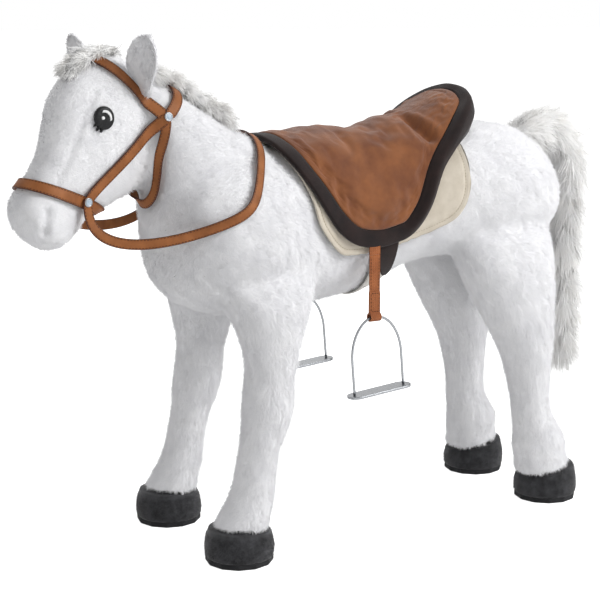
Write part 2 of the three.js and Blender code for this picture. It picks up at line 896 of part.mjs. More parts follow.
// A strap from one upper rivet to the other that passes a place in the head's middle plane.
function overHead(shares, width, rooms) {
  const centre = headPlace(...upperRivetShares);
  const way = headPlace(...shares).sub(centre).normalize();
  return bridleStrap(fanSeats(upperSkin, centre, headSide, way, arcFan, width), width, false, rooms);
}

const browband = overHead(browShares, bridleWidth, cheekRooms);
const headpiece = overHead(pollShares, bridleWidth, [...cheekRooms, browband.room]);
const throatRooms = [...cheekRooms, browband.room, headpiece.room];
const throatlatch = overHead(throatShares, throatlatchWidth, throatRooms);

// Rivets: low domes, with a shank where the rein's end turns on it
const bridleTop = strapLift + bridleThickness;
const reinFoot = bridleTop + reinGap;
const reinTop = reinFoot + reinThickness + seatGap;
const rivetSides = 12;
const domeShares = [
  [0, 0],
  [1, 0],
  [0.85, 0.65],
  [0, 1],
];

// A dome on a seat, at a height over the skin.
function rivetDome({ point, out }, height) {
  const profile = domeShares.map(([across, up]) => new THREE.Vector2(across * rivetRadius, up * rivetHeight));
  const dome = new THREE.LatheGeometry(profile, rivetSides);
  dome.applyQuaternion(new THREE.Quaternion().setFromUnitVectors(Y, out));
  dome.translate(...moved(point, out, height).toArray());
  return solidOf(dome);
}

// The upper rivet sits on the end of the cheekpiece, over the other three straps.
function upperRivet(side) {
  const seat = cheekSeats(side).at(-1);
  const rooms = [...throatRooms, throatlatch.room];
  return largest(cut(rivetDome(seat, bridleTop + layerGap), headGrown, neckGrown, ...rooms));
}

// Where the rein's end turns: on the skin below the lower rivet, with the turn's direction.
function reinSeat(side) {
  return { point: leaves(headSkin, headPlace(...lowerRivetShares), sideWay(side)), out: sideWay(side) };
}

function lowerRivet(side) {
  const seat = reinSeat(side);
  const start = bridleTop + layerGap;
  const length = reinTop + rivetHeight / 2 - start;
  return rivetDome(seat, reinTop).add(
    bar(moved(seat.point, seat.out, start), seat.out, rivetShankRadius, length, rivetSides),
  );
}

// Ears: [up, half width, half thickness], as shares of the ear's sizes
const earShares = [
  [0, 0.74, 1],
  [0.25, 0.9, 1],
  [0.5, 1, 0.85],
  [0.72, 0.9, 0.7],
  [0.9, 0.6, 0.55],
  [1, 0.2, 0.25],
];
const earRootShares = [0.117, -0.048];
const earSides = 10;

function earSolid(side) {
  const root = moved(headPlace(...earRootShares), sideWay(side), earSpread);
  const up = between(between(Z, headForward, earForwardDeg), sideWay(side), earLeanDeg);
  const broad = up.clone().cross(between(headForward, sideWay(side), earFacingDeg)).normalize();
  return loft(
    earShares.map(([rise, wide, thick]) => {
      const size = {
        centre: moved(root, up, rise * earLength),
        right: broad,
        up: broad.clone().cross(up),
        halfWidth: wide * earHalfWidth,
        halfUp: (thick * earThickness) / 2,
        halfDown: (thick * earThickness) / 2,
      };
      return section(size, earSides, 2);
    }),
  );
}

const ears = [1, -1].map((side) =>
  largest(cut(earSolid(side), headGrown, neckGrown, browband.room, headpiece.room, ...cheekRooms)),
);

// Eyes: a low oval dome on each cheek, turned a little forward
const eyeShares = [0.33, 0.05];
const eyeSides = 14;

function eyeSolid(side) {
  const direction = between(sideWay(side), headForward, eyeForwardDeg);
  const skin = leaves(headSkin, headPlace(...eyeShares), direction);
  const halfSizes = [eyeHalfWidth, 2 * eyeBulge, eyeHalfHeight];
  return largest(cut(ball(moved(skin, direction, -eyeBulge), halfSizes, direction, eyeSides), headGrown));
}

// Mane: an upright strip of long pile along the crest. [along the neck, up the neck, height, half width]
const maneShares = [
  [1, 1, 0.75, 0.7],
  [0.88, 0.905, 0.95, 1],
  [0.743, 0.8, 1, 1],
  [0.644, 0.7, 1, 1],
  [0.576, 0.584, 0.75, 1],
  [0.556, 0.55, 0.55, 0.9],
  [0.535, 0.515, 0.25, 0.6],
];
const pileSides = 10;

function maneSolid() {
  const out = between(Y, Z, maneLeanDeg);
  return loft(
    maneShares.map(([along, up, high, wide]) => {
      const size = {
        centre: leaves(upperSkin, neckPoint(along, up), out),
        right: X,
        up: out,
        halfWidth: wide * maneHalfWidth,
        halfUp: high * maneHeight,
        halfDown: maneHalfWidth,
      };
      return section(size, pileSides, 2);
    }),
  );
}

const mane = largest(cut(maneSolid(), headGrown, neckGrown, trunkGrown, headpiece.room, ...ears));

// Forelock: a tuft from the poll over the browband. [turn up from forward, height, half width]
const forelockShares = [
  [0.62, 0.5, 0.5],
  [0.5, 0.85, 0.85],
  [0.38, 1, 1],
  [0.27, 1, 1],
  [0.18, 0.6, 0.8],
  [0.13, 0.2, 0.5],
];
const forelockCentreShares = [0.2, 0];

function forelockSolid() {
  return loft(
    forelockShares.map(([turn, high, wide]) => {
      const direction = between(headForward, Z, turn * halfTurn);
      const size = {
        centre: leaves(headSkin, headPlace(...forelockCentreShares), direction),
        right: headSide,
        up: direction,
        halfWidth: wide * forelockHalfWidth,
        halfUp: high * forelockHeight,
        halfDown: forelockHeight / 2,
      };
      return section(size, pileSides, 2);
    }),
  );
}

const forelockRooms = [browband.room, headpiece.room, ...cheekRooms, ...ears, mane];
const forelock = largest(cut(forelockSolid(), headGrown, neckGrown, ...forelockRooms));

// Saddle blanket: [along, drop], as shares of its length and greatest drop
const blanketShares = [
  [0, 0.28],
  [0.02, 0.42],
  [0.085, 0.68],
  [0.12, 0.83],
  [0.23, 0.97],
  [0.3, 1],
  [0.5, 0.965],
  [0.72, 0.92],
  [0.83, 0.91],
  [0.91, 0.885],
  [0.96, 0.82],
  [0.99, 0.7],
  [1, 0.55],
];

// Saddle: [along, drop], as shares of its length and greatest drop
const saddleShares = [
  [0, 0.18],
  [0.016, 0.34],
  [0.045, 0.5],
  [0.085, 0.62],
  [0.15, 0.77],
  [0.215, 0.89],
  [0.3, 0.98],
  [0.42, 1],
  [0.525, 0.965],
  [0.585, 0.92],
  [0.655, 0.775],
  [0.69, 0.665],
  [0.745, 0.535],
  [0.9, 0.37],
  [0.96, 0.28],
  [1, 0.13],
];

// Rise of the seat over its flaps: [along the saddle, rise], as shares of its length and the cantle's height
const seatRiseShares = [
  [0, 0],
  [0.15, 0.04],
  [0.263, 0.2],
  [0.43, 0.27],
  [0.57, 0.44],
  [0.67, 0.68],
  [0.77, 0.93],
  [0.87, 1],
  [0.95, 0.84],
  [1, 0.6],
];
const seatRoundness = 1.3;
const padColumns = 14;
const blanketTop = padGap + blanketThickness;
const saddleUnder = blanketTop + padGap;

// Rows of [y, half drop] from a table of shares.
function outlineRows(shares, frontY, length, drop) {
  return shares.map(([along, down]) => [frontY + along * length, down * drop]);
}

// A pad on the trunk between two heights over its skin.
function pad(rows, low, high) {
  const grid = (height) =>
    rows.map(([y, half]) =>
      Array.from({ length: padColumns + 1 }, (_, i) => {
        const drop = lerp(-half, half, i / padColumns);
        return onSkin(y, drop, height(y, drop));
      }),
    );
  return slab(grid(high), grid(low));
}

// The rows moved inwards over the skin by a width.
function inset(rows, by) {
  const last = rows.length - 1;
  const inner = rows.map(([y, half], i) => {
    const before = rows[Math.max(i - 1, 0)];
    const after = rows[Math.min(i + 1, last)];
    const run = new THREE.Vector2(after[0] - before[0], after[1] - before[1]).normalize();
    return [y + run.y * by, Math.max(half - run.x * by, by / 2)];
  });
  inner[0][0] = rows[0][0] + by;
  inner[last][0] = rows[last][0] - by;
  return inner.filter(([y], i) => inner.slice(0, i).every(([other]) => other < y));
}

// Height of the saddle's top over the trunk's skin.
function saddleTop(y, drop) {
  const place = (y - saddleFrontY) / saddleLength;
  const rise = tableAt(seatRiseShares, place)[1] * cantleHeight;
  const reach = lerp(seatPadReach, cantleReach, clamp(place, 0, 1) ** 2);
  const turn = (Math.PI / 2) * Math.min(1, Math.abs(drop) / reach);
  return saddleUnder + saddleThickness + rise * Math.cos(turn) ** seatRoundness;
}

const blanketRows = outlineRows(blanketShares, blanketFrontY, blanketLength, blanketDrop);
const saddleRows = outlineRows(saddleShares, saddleFrontY, saddleLength, saddleDrop);
const blanketWhole = pad(
  blanketRows,
  () => padGap,
  () => blanketTop,
);
const blanketRoom = pad(
  inset(blanketRows, -seatGap),
  () => padGap,
  () => blanketTop + layerGap,
);
const blanket = largest(cut(blanketWhole, trunkGrown, neckGrown));
const seatRows = inset(saddleRows, trimWidth);
const seatWhole = pad(
  seatRows,
  () => saddleUnder,
  (y, drop) => saddleTop(y, drop) + seatProud,
);
const seatRoom = pad(
  inset(seatRows, -seatGap),
  () => saddleUnder - padGap,
  (y, drop) => saddleTop(y, drop) + seatProud + padGap,
);
const seat = largest(cut(seatWhole, blanketRoom));

// The stirrup straps turn in round pockets under the trim, in upright planes outside the blanket and girth tab
const strapPocketRows = [-1, 1].map((end) => tableAt(trunkRows, strapY + end * strapPocketRadius));
const barrelHalfWidth = Math.max(...strapPocketRows.map((row) => row[4]));
const strapX = barrelHalfWidth + saddleUnder + girthTabThickness + layerGap + strapThickness / 2;
const strapPivotZ = onSkin(strapY, saddleDrop, 0).z + strapTuck;
const strapHingeZ = strapPivotZ - strapTuck - strapTabLength;
const pocketSides = 16;

function pocket(side) {
  const face = strapX + strapThickness / 2 + seatGap;
  return bar(at(side * face, strapY, strapPivotZ), at(-side, 0, 0), strapPocketRadius, cutOverrun, pocketSides);
}

const trimWhole = pad(saddleRows, () => saddleUnder, saddleTop);
const trim = largest(cut(trimWhole, neckGrown, blanketRoom, seatRoom, pocket(1), pocket(-1)));

// A geometry in the XY plane, extruded by a thickness along Z and centred there.
function extruded(outline, thickness, curveSegments) {
  const geometry = new THREE.ExtrudeGeometry(outline, { depth: thickness, bevelEnabled: false, curveSegments });
  geometry.translate(0, 0, -thickness / 2);
  return geometry;
}

// The strap's upper end: round in the pocket, square where the hanging strap starts
function strapTabGeometry() {
  const half = strapWidth / 2;
  const foot = strapHingeZ + strapThickness / 2 + seatGap - strapPivotZ;
  const outline = new THREE.Shape();
  outline.moveTo(-half, foot);
  outline.lineTo(half, foot);
  outline.absarc(0, 0, half, 0, Math.PI);
  const geometry = extruded(outline, strapThickness, 8);
  geometry.rotateX(Math.PI / 2);
  geometry.rotateZ(Math.PI / 2);
  return geometry;
}

// The hanging strap seen along Y: single webbing, then doubled and sewn, then the eye round the wire
function hangingStrapGeometry() {
  const half = strapThickness / 2;
  const bore = wireRadius + wireRoom;
  const eyeRadius = bore + strapThickness;
  const eyeZ = -strapLength;
  const doubledZ = eyeZ + strapLoopLength;
  const neckHeight = Math.sqrt(eyeRadius ** 2 - strapThickness ** 2);
  const neckTurn = Math.atan2(neckHeight, strapThickness);
  const outline = new THREE.Shape();
  outline.absarc(0, 0, half, 0, Math.PI);
  outline.lineTo(-half, doubledZ);
  outline.lineTo(-strapThickness, doubledZ);
  outline.absarc(0, eyeZ, eyeRadius, Math.PI - neckTurn, 2 * Math.PI + neckTurn);
  outline.lineTo(strapThickness, doubledZ);
  outline.lineTo(half, doubledZ);
  outline.holes.push(new THREE.Path().absarc(0, eyeZ, bore, 0, 2 * Math.PI, true));
  const geometry = extruded(outline, strapWidth, 8);
  geometry.rotateX(Math.PI / 2);
  return geometry;
}

const archSteps = 22;

// The stirrup's bent wire, from its top at the origin down to both ends of the tread
function archGeometry() {
  const half = stirrupSpan / 2;
  const turns = 10;
  const foot = treadThickness + seatGap - stirrupHeight;
  const points = Array.from({ length: turns + 1 }, (_, i) => {
    const turn = (Math.PI * i) / turns;
    return at(0, -half * Math.cos(turn), stirrupCrown * (Math.sin(turn) - 1));
  });
  const path = new THREE.CurvePath();
  path.add(new THREE.LineCurve3(at(0, -half, foot), points[0]));
  path.add(new THREE.CatmullRomCurve3(points));
  path.add(new THREE.LineCurve3(points[turns], at(0, half, foot)));
  return geometryOf(tube(path, wireRadius, archSteps, frameSides));
}

// The tread: a flat plate with round ends
function treadGeometry() {
  const half = treadWidth / 2;
  const straight = treadLength / 2 - half;
  const outline = new THREE.Shape();
  outline.absarc(0, straight, half, 0, Math.PI);
  outline.absarc(0, -straight, half, Math.PI, 2 * Math.PI);
  const geometry = extruded(outline, treadThickness, 6);
  geometry.translate(0, 0, treadThickness / 2 - stirrupHeight);
  return geometry;
}

// A band across the trunk: each row has its drop and its front and rear y.
function band(rows, low, thickness) {
  const columns = 3;
  const grid = (height) =>
    rows.map(([drop, front, rear]) =>
      Array.from({ length: columns + 1 }, (_, i) => onSkin(lerp(front, rear, i / columns), drop, height)),
    );
  return slab(grid(low + thickness), grid(low));
}

// Girth tabs hang from the trim over the girth: [down, front edge, rear edge], as shares of its length
// and of half the girth's width
const girthTabShares = [
  [0, -0.75, 1],
  [0.2, -0.75, 1],
  [0.5, -0.6, 1],
  [0.8, -0.15, 1],
  [0.95, 0.2, 0.9],
  [1, 0.4, 0.75],
];
const girthFrontY = girthY - girthWidth / 2;

function girthTab(side) {
  const top = tableAt(saddleRows, girthFrontY)[1] + layerGap;
  const rows = girthTabShares.map(([down, front, rear]) => [
    side * (top + down * girthTabLength),
    girthY + (front * girthWidth) / 2,
    girthY + (rear * girthWidth) / 2,
  ]);
  return band(rows, blanketTop + layerGap, girthTabThickness);
}

// The girth: from the blanket's lower edge on one side, under the belly to the other
const girthSteps = 20;

function girthSolid() {
  const half = skinWalk(girthY).at(-1)[0];
  const free = half - tableAt(blanketRows, girthFrontY)[1] - layerGap;
  const rows = Array.from({ length: girthSteps + 1 }, (_, i) => {
    const from = lerp(1, -1, i / girthSteps);
    const side = from < 0 ? -1 : 1;
    return [side * (half - Math.abs(from) * free), girthFrontY, girthFrontY + girthWidth];
  });
  return largest(cut(band(rows, padGap, girthThickness), trunkGrown));
}

// Reins: one strap from rivet to rivet over the neck. On the body: [backward to forward, height of the ray,
// its turn up from level, the turn of the strap's width from upright], as shares of the reach, drop,
// half turn and quarter turn
const reinShares = [
  [0, 0.1, 0.5, 1],
  [0.03, 0.1, 0.3, 1],
  [0.12, 0.12, 0.14, 0.95],
  [0.28, 0.13, 0.04, 0.8],
  [0.46, -0.12, 0, 0.62],
  [0.66, -0.24, 0, 0.45],
  [1, -0.36, 0, 0.25],
];
const freeCount = 9;

function reinSeats(side) {
  const out = at(side, 0, 0);
  const body = smoothed(reinShares).map(([along, up, turn, acrossTurn]) => {
    const y = neckBaseY - lerp(reinBackAhead, reinFrontAhead, along);
    const from = at(0, y, neckBaseZ + reinRayRise + up * reinDrop);
    const across = between(Z, Y, acrossTurn * quarterTurn);
    const seat = seatOn(bodySkin, from, between(out, Z, turn * halfTurn), across, reinWidth);
    return { point: moved(seat.point, seat.out, reinLift), out: seat.out };
  });
  const end = moved(reinSeat(side).point, sideWay(side), reinFoot);
  const foot = moved(end, Z, -reinWidth / 2);
  const last = body.at(-1).point;
  const lead = last.clone().sub(body.at(-2).point).normalize();
  const hang = side > 0 ? leftReinHang : rightReinHang;
  const curve = new THREE.CubicBezierCurve3(last, moved(last, lead, reinLead), moved(foot, Z, -hang), foot);
  const free = Array.from({ length: freeCount }, (_, i) => {
    const t = (i + 1) / freeCount;
    return { point: curve.getPoint(t), out: out.clone().lerp(sideWay(side), t).normalize() };
  });
  return [...body, ...free, { point: moved(end, Z, reinWidth / 2), out: sideWay(side) }];
}

function reinsSolid() {
  const seats = [...reinSeats(1).reverse(), ...reinSeats(-1).slice(1)];
  const holes = [1, -1].map((side) =>
    bar(reinSeat(side).point, sideWay(side), rivetShankRadius + seatGap, cutOverrun, rivetSides),
  );
  return largest(cut(strap(seats, reinWidth, reinThickness, 0), trunkGrown, neckGrown, ...holes));
}

// The assembly
const horse = new THREE.Group();

function addMesh(name, shape, finish, parent = horse) {
  const geometry = shape.isBufferGeometry ? shape : geometryOf(shape);
  const mesh = new THREE.Mesh(geometry, new THREE.MeshStandardMaterial(finishes[finish]));
  mesh.name = name;
  parent.add(mesh);
  return mesh;
}

function addGroup(parent, x, y, z) {
  const group = new THREE.Group();
  group.position.set(x, y, z);
  parent.add(group);
  return group;
}

addMesh("trunk", trunk, "plush");
addMesh("neck", neck, "plush");
addMesh("head", head, "plush");
addMesh("mane", mane, "longPile");
addMesh("forelock", forelock, "longPile");
addMesh("tail_dock", dock, "plush");
addMesh("tail", tailSolid(), "longPile");
addMesh("frame_spine_tube", spine.tube, "frameSteel");

for (const [pair, leg] of Object.entries({ front: frontLeg, hind: hindLeg })) {
  addMesh(`frame_${pair}_hoop`, hoops[pair].tube, "frameSteel");
  for (const side of [1, -1]) {
    const name = `${pair}_${side > 0 ? "left" : "right"}`;
    const room = hoops[pair].room;
    addMesh(`${name}_leg`, largest(cut(legSolid(leg, side), trunkGrown, neckGrown, room)), "plush");
    addMesh(`${name}_hoof`, cut(hoofSolid(leg, side), room, footPlate(leg, side, seatGap)), "hoofPlush");
    addMesh(`${name}_sole`, soleSolid(leg, side), "hoofPlush");
    addMesh(`${name}_foot_plate`, footPlate(leg, side, 0), "frameSteel");
  }
}

addMesh("saddle_blanket", blanket, "felt");
addMesh("saddle_seat", seat, "suede");
addMesh("saddle_trim", trim, "darkTrim");
addMesh("girth", girthSolid(), "girthWebbing");
addMesh("noseband", noseband.body, "webbing");
addMesh("browband", browband.body, "webbing");
addMesh("headpiece", headpiece.body, "webbing");
addMesh("throatlatch", throatlatch.body, "webbing");
addMesh("reins", reinsSolid(), "webbing");

[1, -1].forEach((side, i) => {
  const name = side > 0 ? "left" : "right";
  addMesh(`${name}_ear`, ears[i], "plush");
  addMesh(`${name}_eye`, eyeSolid(side), "eyeThread");
  addMesh(`${name}_cheekpiece`, cheekpieces[i].body, "webbing");
  addMesh(`${name}_upper_rivet`, upperRivet(side), "steel");
  addMesh(`${name}_lower_rivet`, lowerRivet(side), "steel");
  addMesh(`${name}_girth_tab`, girthTab(side), "darkTrim");
  const tab = addGroup(horse, side * strapX, strapY, strapPivotZ);
  addMesh(`${name}_strap_tab`, strapTabGeometry(), "webbing", tab);
  const hanging = addGroup(tab, 0, 0, strapHingeZ - strapPivotZ);
  addMesh(`${name}_stirrup_strap`, hangingStrapGeometry(), "webbing", hanging);
  const stirrup = addGroup(hanging, 0, 0, -strapLength);
  stirrup.rotation.x = degToRad(stirrupTiltDeg);
  addMesh(`${name}_stirrup_arch`, archGeometry(), "steel", stirrup);
  addMesh(`${name}_stirrup_tread`, treadGeometry(), "steel", stirrup);
});

export default horse;
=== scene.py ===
"""Looks of a standing plush horse with its saddle, stirrups, bridle and reins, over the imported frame.

Lengths are in millimetres until a mesh is made. +Z is up, the horse faces -Y and its own left side is +X.
"""

import logging
import math
from collections.abc import Callable, Sequence
from dataclasses import dataclass, field
from enum import Enum

import bpy
import numpy as np
from mathutils import Euler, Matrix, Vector
from mathutils.bvhtree import BVHTree


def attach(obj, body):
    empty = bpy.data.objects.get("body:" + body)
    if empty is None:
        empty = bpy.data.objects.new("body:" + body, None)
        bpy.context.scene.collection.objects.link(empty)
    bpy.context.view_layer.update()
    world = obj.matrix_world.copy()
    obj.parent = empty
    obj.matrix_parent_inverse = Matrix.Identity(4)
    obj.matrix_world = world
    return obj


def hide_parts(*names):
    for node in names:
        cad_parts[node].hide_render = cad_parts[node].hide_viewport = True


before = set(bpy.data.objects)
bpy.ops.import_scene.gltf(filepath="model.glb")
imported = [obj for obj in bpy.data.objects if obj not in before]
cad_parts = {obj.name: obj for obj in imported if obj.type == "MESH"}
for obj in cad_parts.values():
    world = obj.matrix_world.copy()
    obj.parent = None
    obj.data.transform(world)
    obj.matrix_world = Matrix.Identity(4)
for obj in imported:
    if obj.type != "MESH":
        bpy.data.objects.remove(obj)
log = logging.getLogger("plush_horse")

Array = np.ndarray
Object = bpy.types.Object
Material = bpy.types.Material
NodeTree = bpy.types.NodeTree
Socket = bpy.types.NodeSocket
Rows = tuple[tuple[float, ...], ...]
Faces = list[tuple[int, ...]]
Pair = tuple[Array, Array]

METRE = 0.001
WHITE = (1.0, 1.0, 1.0, 1.0)
MOST_FACES = 180_000
X = np.array([1.0, 0.0, 0.0])
Y = np.array([0.0, 1.0, 0.0])
Z = np.array([0.0, 0.0, 1.0])
SIDES = {"left": 1, "right": -1}
CORNERS = tuple((pair, side) for pair in ("front", "hind") for side in SIDES)


# ---------------------------------------------------------------- vectors and tables


def unit(v: Array) -> Array:
    """The vectors at length one, along the last axis."""
    return v / np.maximum(np.linalg.norm(v, axis=-1, keepdims=True), 1e-9)


def between(a: Array, b: Array, degrees: float) -> Array:
    """The direction that lies some degrees from the unit vector a towards the unit vector b."""
    turn = math.radians(degrees)
    return unit(a * math.cos(turn) + b * math.sin(turn))


def smoothed(rows: Sequence[Sequence[float]] | Array, times: int = 1) -> Array:
    """Rows of a table with new rows halfway between, on a Catmull-Rom spline through every column.

    Args:
        rows: The table's rows.
        times: How many times each gap is halved.

    Returns:
        The finer table, which keeps every row of the first.
    """
    made = np.asarray(rows, float)
    for _ in range(times):
        padded = np.concatenate([made[:1], made, made[-1:]])
        middle = (9 * (padded[1:-2] + padded[2:-1]) - padded[:-3] - padded[3:]) / 16
        finer = np.empty((2 * len(made) - 1, made.shape[1]))
        finer[0::2], finer[1::2] = made, middle
        made = finer
    return made


def read_table(rows: Array, place: float) -> Array:
    """Every column of a table at one place of its first column, in straight runs."""
    return np.array([np.interp(place, rows[:, 0], rows[:, i]) for i in range(rows.shape[1])])


def way_along(points: Array) -> Array:
    """The distance of each point of a course from its start, along the course."""
    return np.concatenate([[0], np.cumsum(np.linalg.norm(np.diff(points, axis=0), axis=1))])


def sample(rows: Array, way: Array, at: Array) -> Array:
    """Every column of the rows, which lie at the distances way, at new distances."""
    return np.stack([np.interp(at, way, rows[:, i]) for i in range(rows.shape[1])], 1)


def circle(sides: int) -> Array:
    """Even angles of one turn, in radians."""
    return 2 * math.pi * np.arange(sides) / sides


def round_edge(away: Array, radius: float) -> Array:
    """Height of a round edge, from 0 at the edge to 1 at its radius and beyond."""
    return np.sqrt(np.clip(1 - (1 - np.clip(away / radius, 0, 1)) ** 2, 0, 1))


def waves(points: Array, length: float, seed: int) -> Array:
    """A smooth, seeded random field over points, about -1 to 1.

    Args:
        points: Places, one row each.
        length: Wavelength in millimetres.
        seed: Seed of the waves' directions and phases.

    Returns:
        One value for each point.
    """
    rng = np.random.default_rng(seed)
    total = np.zeros(len(points))
    for _ in range(7):
        way = unit(rng.normal(size=points.shape[1])) * 2 * math.pi / (length * rng.uniform(0.7, 1.5))
        total += np.sin(points @ way + rng.uniform(0, 2 * math.pi))
    return total / 3.2


def ellipse_ring(
    centre: Array, right: Array, up: Array, wide: float, high: float, low: float, tilt: float = 0,
    sides: int = 48, power: float = 2.2,
) -> Array:
    """One closed ring of a superellipse whose upper and lower half may differ.

    Args:
        centre: The ring's centre.
        right: Direction of its width.
        up: Direction of its height.
        wide: Half width.
        high: Height of the upper half.
        low: Height of the lower half.
        tilt: Rise in Z of the upper side over the centre.
        sides: Number of points.
        power: Power of the superellipse, where 2 is an ellipse.

    Returns:
        The ring's points.
    """
    turn = circle(sides)
    c = np.sign(np.cos(turn)) * np.abs(np.cos(turn)) ** (2 / power)
    s = np.sign(np.sin(turn)) * np.abs(np.sin(turn)) ** (2 / power)
    reach = np.where(c > 0, high, low) * c
    return centre + np.outer(wide * s, right) + np.outer(reach, up) + np.outer(tilt * c, Z)


def apart(seats: Sequence[Pair]) -> Pair:
    """Pairs of a point and a direction as one array of points and one of directions."""
    return np.array([s[0] for s in seats]), np.array([s[1] for s in seats])


# ---------------------------------------------------------------- meshes


def ring_faces(rows: int, columns: int, around: bool, closed: bool = False) -> Faces:
    """Quads between the rows of a grid of points.

    Args:
        rows: Number of rows.
        columns: Points in each row.
        around: True where a row closes on itself.
        closed: True where the last row joins the first.

    Returns:
        The faces, with an n-gon on each end where rows close and the ends are open.
    """
    faces: Faces = []
    for r in range(rows if closed else rows - 1):
        on = ((r + 1) % rows) * columns
        for i in range(columns if around else columns - 1):
            j = (i + 1) % columns
            faces.append((r * columns + i, r * columns + j, on + j, on + i))
    if around and not closed:
        faces.append(tuple(reversed(range(columns))))
        faces.append(tuple(range((rows - 1) * columns, rows * columns)))
    return faces


def build_mesh(
    name: str,
    points: Array,
    faces: Array | Faces,
    materials: Sequence[Material],
    choice: Array | None = None,
) -> Object:
    """Makes one smooth-shaded mesh object in the scene.

    Args:
        name: The piece's name.
        points: Points in millimetres.
        faces: Point numbers of each face.
        materials: The piece's materials.
        choice: Number of the material of each face, or None for the first on all.

    Returns:
        The new object.
    """
    mesh = bpy.data.meshes.new(name)
    if isinstance(faces, np.ndarray):
        sizes, corners = np.full(len(faces), faces.shape[1]), faces.ravel()
    else:
        sizes = np.array([len(f) for f in faces])
        corners = np.concatenate([np.array(f) for f in faces])
    mesh.vertices.add(len(points))
    mesh.vertices.foreach_set("co", (np.asarray(points, np.float32) * METRE).ravel())
    mesh.loops.add(len(corners))
    mesh.loops.foreach_set("vertex_index", corners.astype(np.int32))
    mesh.polygons.add(len(sizes))
    mesh.polygons.foreach_set("loop_start", (np.cumsum(sizes) - sizes).astype(np.int32))
    mesh.polygons.foreach_set("use_smooth", np.ones(len(sizes), bool))
    for material in materials:
        mesh.materials.append(material)
    if choice is not None:
        mesh.polygons.foreach_set("material_index", np.asarray(choice, np.int32))
    mesh.update(calc_edges=True)
    mesh.validate()
    obj = bpy.data.objects.new(name, mesh)
    bpy.context.scene.collection.objects.link(obj)
    return obj


def face_outwards(points: Array, faces: Faces) -> Faces:
    """The faces of a closed mesh, turned so that they look outwards."""
    volume = sum(
        float(np.dot(points[f[0]], np.cross(points[f[i]], points[f[i + 1]])))
        for f in faces
        for i in range(1, len(f) - 1)
    )
    return faces if volume > 0 else [tuple(reversed(f)) for f in faces]


def points_of(obj: Object) -> Array:
    """The points of a mesh object, in millimetres."""
    flat = np.empty(len(obj.data.vertices) * 3, np.float32)
    obj.data.vertices.foreach_get("co", flat)
    return flat.reshape(-1, 3).astype(float) / METRE


def normals_of(obj: Object) -> Array:
    """The point normals of a mesh object."""
    flat = np.empty(len(obj.data.vertices) * 3, np.float32)
    obj.data.vertex_normals.foreach_get("vector", flat)
    return flat.reshape(-1, 3).astype(float)


def set_points(obj: Object, points: Array) -> None:
    """Moves the points of a mesh object to new places in millimetres."""
    obj.data.vertices.foreach_set("co", (points * METRE).astype(np.float32).ravel())
    obj.data.update()


def tie(obj: Object, body: str, slot: str, *replaced: str, fill: float | None = None) -> None:
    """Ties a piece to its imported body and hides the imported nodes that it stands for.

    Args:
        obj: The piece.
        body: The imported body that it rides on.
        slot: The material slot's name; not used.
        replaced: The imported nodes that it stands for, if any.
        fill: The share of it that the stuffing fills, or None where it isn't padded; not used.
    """
    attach(obj, body)
    if replaced:
        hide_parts(*replaced)


def apply_modifiers(obj: Object) -> None:
    """Replaces the object's mesh by what its modifiers make of it, and takes them off."""
    evaluated = obj.evaluated_get(bpy.context.evaluated_depsgraph_get())
    mesh = bpy.data.meshes.new_from_object(evaluated)
    obj.modifiers.clear()
    obj.data = mesh


@dataclass(frozen=True)
class CoverCloth:
    """A cover's cloth and the stuffing under it: frames of simulation, mass, stiffness and pressure."""

    frames: int = 20
    quality: int = 4
    mass: float = 0.15
    tension: float = 20
    shear: float = 10
    bending: float = 0.4
    pressure: float = 4.0
    slack: float = 0.05


def fill_out(obj: Object, sewn: Array, limit: float, kind: CoverCloth = CoverCloth()) -> None:
    """Lets the stuffing push the cover out between its seams, as simulated cloth under pressure.

    Args:
        obj: The cover, a closed mesh.
        sewn: How firmly each point is held, from 0 to 1.
        limit: The farthest that a point may move.
        kind: The cloth. Its slack is how much longer it is than the form, which gives the puckers.
    """
    scene = bpy.context.scene
    group = obj.vertex_groups.new(name="sewn")
    for level in np.unique(np.round(sewn, 1)):
        group.add(np.flatnonzero(np.round(sewn, 1) == level).tolist(), float(level), "REPLACE")
    cloth = obj.modifiers.new("cover", "CLOTH")
    fabric = cloth.settings
    fabric.quality, fabric.mass = kind.quality, kind.mass
    fabric.tension_stiffness = fabric.compression_stiffness = kind.tension
    fabric.shear_stiffness, fabric.bending_stiffness = kind.shear, kind.bending
    fabric.vertex_group_mass, fabric.pin_stiffness = "sewn", 1.0
    fabric.use_pressure, fabric.uniform_pressure_force = True, kind.pressure
    fabric.shrink_min = -kind.slack
    fabric.effector_weights.gravity = 0
    cloth.collision_settings.use_collision = False
    cloth.collision_settings.use_self_collision = False
    cloth.point_cache.frame_start, cloth.point_cache.frame_end = 1, kind.frames
    start = points_of(obj)
    for number in range(1, kind.frames + 1):
        scene.frame_set(number)
    shaped = obj.evaluated_get(bpy.context.evaluated_depsgraph_get()).data
    found = np.empty(len(shaped.vertices) * 3, np.float32)
    shaped.vertices.foreach_get("co", found)
    moved = found.reshape(-1, 3) / METRE - start
    reach = np.linalg.norm(moved, axis=1, keepdims=True)
    obj.modifiers.remove(cloth)
    obj.vertex_groups.clear()
    scene.frame_set(1)
    set_points(obj, start + moved * np.minimum(1, limit / np.maximum(reach, 1e-6)))
    obj.modifiers.new("finer", "SUBSURF").levels = 1
    apply_modifiers(obj)
    log.info("%s: cloth moved %.1f mm at most, %.1f mm on average", obj.name, reach.max(), reach.mean())


def edges_of(obj: Object) -> Array:
    """The edges of a mesh object, as pairs of point numbers."""
    flat = np.empty(len(obj.data.edges) * 2, np.int32)
    obj.data.edges.foreach_get("vertices", flat)
    return flat.reshape(-1, 2)


